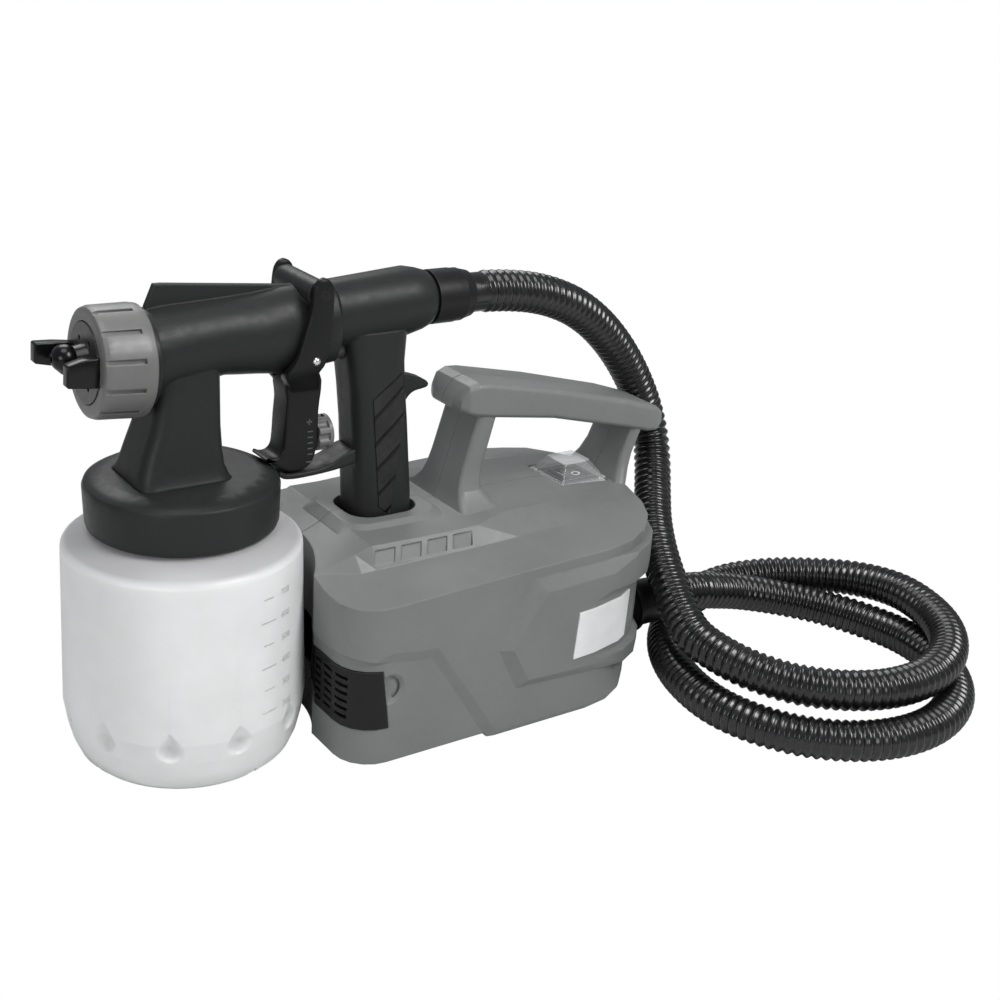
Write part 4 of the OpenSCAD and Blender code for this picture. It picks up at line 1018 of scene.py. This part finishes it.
def part_air_cap(gloss):
    """Gives the cap's front a glossier finish, and two smooth horns in place of its own."""
    thing = bpy.data.objects["air_cap_surface"]
    p = math.radians(PITCH)
    form = bmesh.new()
    form.from_mesh(thing.data)
    horns = []
    for face in form.faces:
        x, y, z = face.calc_center_median() / MM
        u = (x - BASE_MIDDLE - NUT_X) * math.cos(p) - (z - SPRAY_Z) * math.sin(p)
        if u < CAP_FACE_U:
            face.material_index = 1
            if abs(y) > HORN_ROOT:
                horns.append(face)
    bmesh.ops.delete(form, geom=horns, context="FACES")
    close_after_cut(form, thing)
    thing.data.materials.append(gloss)
    form = bmesh.new()
    plate(form, FAR_HORN, HORN_IN, HORN_OUT, HORN_EDGE, on_axis)
    plate(form, NEAR_HORN, -HORN_OUT, -HORN_IN, HORN_EDGE, on_axis)
    finish_piece("cap_horns", form, gloss, "air_cap", 25)


def make_nozzle_ball(gloss):
    """The ball round the fluid tip, with the spray hole in its front."""
    front = math.degrees(math.asin(BALL_HOLE / BALL_R))
    arc = [math.radians(mix(front, BALL_REAR, k / BALL_STEPS)) for k in range(BALL_STEPS + 1)]
    outline = [(0, BALL_HOLE_FLOOR), (BALL_HOLE, BALL_HOLE_FLOOR)]
    outline += [(BALL_R * math.sin(t), BALL_R * math.cos(t)) for t in arc]
    outline += [(BALL_STEM_R, BALL_STEM_END), (0, BALL_STEM_END)]
    form = bmesh.new()
    revolve(form, outline, 48, placed(on_axis(BALL_U, BALL_RISE, 0), PITCH - 90, "Y"))
    finish_piece("nozzle_ball", form, gloss, "fluid_nozzle")


def make_needle_pin(steel):
    """The bright cross pin with its two domed ends."""
    half = [(r, PIN_END + z) for r, z in PIN_DOME]
    form = bmesh.new()
    revolve(form, half + [(r, -z) for r, z in reversed(half)], 24, placed(axis_place(PIN_U), 90, "X"))
    pin = make_object("domed_pin", form)
    pin.data.materials.append(steel)
    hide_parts("needle_pin")
    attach(pin, BODY_OF["needle_pin"])


# ---------- trigger and handle ----------

# Trigger arm beside the barrel: height, front x, rear x, inner and outer distance from the mid-plane
TRIGGER_ARM = [
    (170, -79, -65, 0.8, 7.4), (174.5, -81.4, -66, 3.6, 11), (178.5, -85, -68.4, 8, 15),
    (182.3, -87.2, -70.4, 12.4, 18.4), (186, -85.6, -69, 15.4, 20.4), (190, -83.2, -68, 17, 21.1),
    (196, -81.1, -66.8, 17.6, 21.3), (204, -78.7, -65.8, 17.6, 21.3), (212, -76.4, -65.4, 17.6, 21.3),
    (219, -75.6, -65.3, 17.6, 21.3), (223, -74.7, -65.9, 17.6, 21.3), (225.6, -73, -67.6, 17.8, 21.1),
    (226.6, -71.2, -69.6, 18.4, 20.6),
]
ARM_STEPS = 5
ARM_EDGE = 1.1
# Outline of the trigger's blade in x and z, with the lip at its lower front
TRIGGER_BLADE = [
    (-80.6, 178), (-81, 166), (-81.8, 157), (-82.4, 147.5), (-83.4, 142), (-86.4, 139.7), (-91, 140),
    (-92, 139.2), (-88.4, 136.8), (-84.6, 133.9), (-80, 131.7), (-74.5, 131.3), (-69.6, 133),
    (-66.4, 137.5), (-65, 146), (-64.6, 160), (-64.3, 178),
]
BLADE_HALF = 7.7
BLADE_EDGE = 1.6
# Finger guard and thumb hook in x and z, and the boxes whose faces they stand for
GUARD = [
    (-85.1, 131), (-82.8, 128.8), (-77, 127.9), (-69, 128), (-60, 128.5), (-52, 129.4), (-44, 130.8),
    (-38, 131.4), (-36, 134.4), (-38, 137.6), (-43.4, 138), (-48, 137), (-52.4, 135), (-57, 132.8),
    (-63, 131.2), (-70, 130.6), (-77, 130.6), (-81.2, 131), (-84, 132.2),
]
GUARD_HALF = 8.1
GUARD_EDGE = 0.9
GUARD_BOX = (at(-86, -GUARD_HALF, 124.8), at(-36, GUARD_HALF, 135.8))
HOOK = [
    (-24, 150), (-17, 151), (-16, 156), (-13.8, 159.6), (-10.6, 161.6), (-6.4, 162.3), (-3.6, 163),
    (-2.8, 164.8), (-5.2, 167), (-11, 169.2), (-17, 170.6), (-24, 171.4),
]
HOOK_HALF = 5.1
HOOK_EDGE = 1.7
HOOK_BOX = (at(-19, -HOOK_HALF, 155.8), at(0, HOOK_HALF, 170.2))


def trigger_arm(form, side):
    """One tapered arm, its corners rounded as far as its width allows."""
    sections = []
    for z, front, rear, near, out in smooth_rows(TRIGGER_ARM, ARM_STEPS):
        r = min(ARM_EDGE, (rear - front) / 2.2, (out - near) / 2.2)
        sections.append([at(x, side * y, z) for x, y in round_box(front, rear, near, out, r)])
    loft(form, sections)


def make_trigger(material):
    """The trigger: two arms that grasp the barrel, and the blade between them."""
    form = bmesh.new()
    trigger_arm(form, -1)
    trigger_arm(form, 1)
    plate(form, smooth_loop(TRIGGER_BLADE), -BLADE_HALF, BLADE_HALF, BLADE_EDGE, upright)
    trigger = finish_piece("trigger_surface", form, material, "trigger", 40)
    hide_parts("trigger")


def refine_handle(material):
    """Gives the gun's handle a curved finger guard and thumb hook."""
    handle = bpy.data.objects["gun_handle_surface"]
    trim(handle, *GUARD_BOX)
    trim(handle, *HOOK_BOX)
    extras = (
        ("finger_guard", GUARD, GUARD_HALF, GUARD_EDGE),
        ("thumb_hook", HOOK, HOOK_HALF, HOOK_EDGE),
    )
    for name, outline, half, rim in extras:
        form = bmesh.new()
        plate(form, smooth_loop(outline), -half, half, rim, upright)
        finish_piece(name, form, material, "gun_handle", 50)


# ---------- small marks ----------

# Strokes on the trigger's side: x and z of their middle, width and height
FLOW_STROKES = [(-69.4, 139.4 + 2.8 * k, 2.6, 0.55) for k in range(5)]
FLOW_PLUS = [(-70, 155.4, 2.8, 0.6), (-70, 155.4, 0.6, 2.8)]
FLOW_MINUS = [(-70, 135.6, 2.6, 0.6)]
STROKE_DEEP = 0.5
STROKE_SINK = 0.1
ROCKER_AT = (92.3, 98.2)
ROCKER_TILT = 8
# Height of the rocker's hollow top over its pivot, along its length
ROCKER_TOP = [(-8.6, 2.6), (-4, 1.5), (0, 1.1), (4, 1.5), (8.6, 2.6)]
ROCKER_MARK_X = 5.2
ROCKER_MARK_DEEP = 0.12
ROCKER_MARK_LIFT = 0.03
ROCKER_BAR = (0.9, 5)
ROCKER_RING_R = (1.7, 2.5)


def make_trigger_scale(material):
    """Raised strokes beside the flow knob, with a plus above and a minus below."""
    parts = []
    for x, z, wide, tall in FLOW_STROKES + FLOW_PLUS + FLOW_MINUS:
        form = bmesh.new()
        bmesh.ops.create_cube(form, size=1, matrix=Matrix.Diagonal((wide, STROKE_DEEP, tall, 1)))
        for vert in form.verts:
            vert.co = at(x + vert.co.x, vert.co.y - BLADE_HALF - STROKE_SINK, z + vert.co.z)
        parts.append(form)
    merge_forms("trigger_scale", parts, material, "trigger_body")


def lay_on_rocker(form):
    """Lays a flat mark (millimetres, z out) on the rocker's hollow, tilted top."""
    tilt = math.radians(ROCKER_TILT)
    for vert in form.verts:
        x, y, z = vert.co
        z += along(ROCKER_TOP, x) + ROCKER_MARK_LIFT
        vert.co = at(ROCKER_AT[0] + x * math.cos(tilt) + z * math.sin(tilt), y,
                     ROCKER_AT[1] - x * math.sin(tilt) + z * math.cos(tilt))


def make_rocker_marks(material):
    """A bar and a ring on the two halves of the rocker."""
    bar = bmesh.new()
    size = Matrix.Diagonal((*ROCKER_BAR, ROCKER_MARK_DEEP, 1))
    bmesh.ops.create_cube(bar, size=1, matrix=Matrix.Translation((-ROCKER_MARK_X, 0, 0)) @ size)
    ring = bmesh.new()
    half = ROCKER_MARK_DEEP / 2
    near, far = ROCKER_RING_R
    outline = [(near, -half), (far, -half), (far, half), (near, half), (near, -half)]
    revolve(ring, outline, 32, Matrix.Translation((ROCKER_MARK_X, 0, 0)))
    lay_on_rocker(bar)
    lay_on_rocker(ring)
    merge_forms("rocker_marks", [bar, ring], material, "rocker_body")


# ---------- hose ----------

TURNS_FROM = 180
TURNS_TO = 800
# The middle of the turns moves from the upper to the lower one between these angles
TURN_SHIFT = (450, 540)
PLAIN_END = 2 * RIB_RINGS
PLAIN_SINK = 0.6


def turn_point(angle):
    """Middle of the hose at an angle along its two turns on the floor."""
    t = min(1, max(0, (angle - TURN_SHIFT[0]) / (TURN_SHIFT[1] - TURN_SHIFT[0])))
    r = mix(UPPER_R, LOWER_R, t)
    a = math.radians(angle)
    x, y = (mix(u, v, t) for u, v in zip(UPPER_TURN, LOWER_TURN))
    return (x + r * math.cos(a), y + r * math.sin(a), along(TURN_RISE, angle))


def hose_radius(k, last):
    """Radius of the k-th ring of the hose: ribs all along, and short plain ends."""
    crest = HOSE_D / 2
    if k < PLAIN_END or k > last - PLAIN_END:
        return (crest - PLAIN_SINK * RIB_DEPTH) * MM
    wave = 0.5 - 0.5 * math.cos(2 * math.pi * k / RIB_RINGS)
    return (crest - RIB_DEPTH * (1 - wave ** 0.7)) * MM


def make_hose(material):
    """The ribbed hose, from cuff to cuff."""
    turns = [turn_point(a) for a in range(TURNS_FROM, TURNS_TO + 1, TURN_STEP)]
    route = [at(*p) for p in HOSE_FALL + turns + HOSE_RUN_IN]
    line, length = smooth_line(route, RIB_PITCH * MM / RIB_RINGS)
    form = bmesh.new()
    sweep(form, line, lambda k: hose_radius(k, len(line) - 1), HOSE_SIDES)
    hose = make_object("air_hose", form)
    hose.data.materials.append(material)
    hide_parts("hose")
    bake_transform(hose)


make_camera()
make_studio()
materials = dress_nodes()
make_hose(materials["hose_black"])
make_cup(materials["milky_cup"])
make_cup_scale(materials["milky_cup"])
part_air_cap(materials["shiny_black"])
make_nozzle_ball(materials["shiny_black"])
make_trigger(materials["trigger_black"])
refine_handle(materials["gun_charcoal"])
make_needle_pin(materials["bright_steel"])
make_trigger_scale(moulded("mark_grey", (0.07, 0.07, 0.07), 0.5, rounding=0))
make_rocker_marks(moulded("mark_white", (0.75, 0.75, 0.75), 0.4, rounding=0))
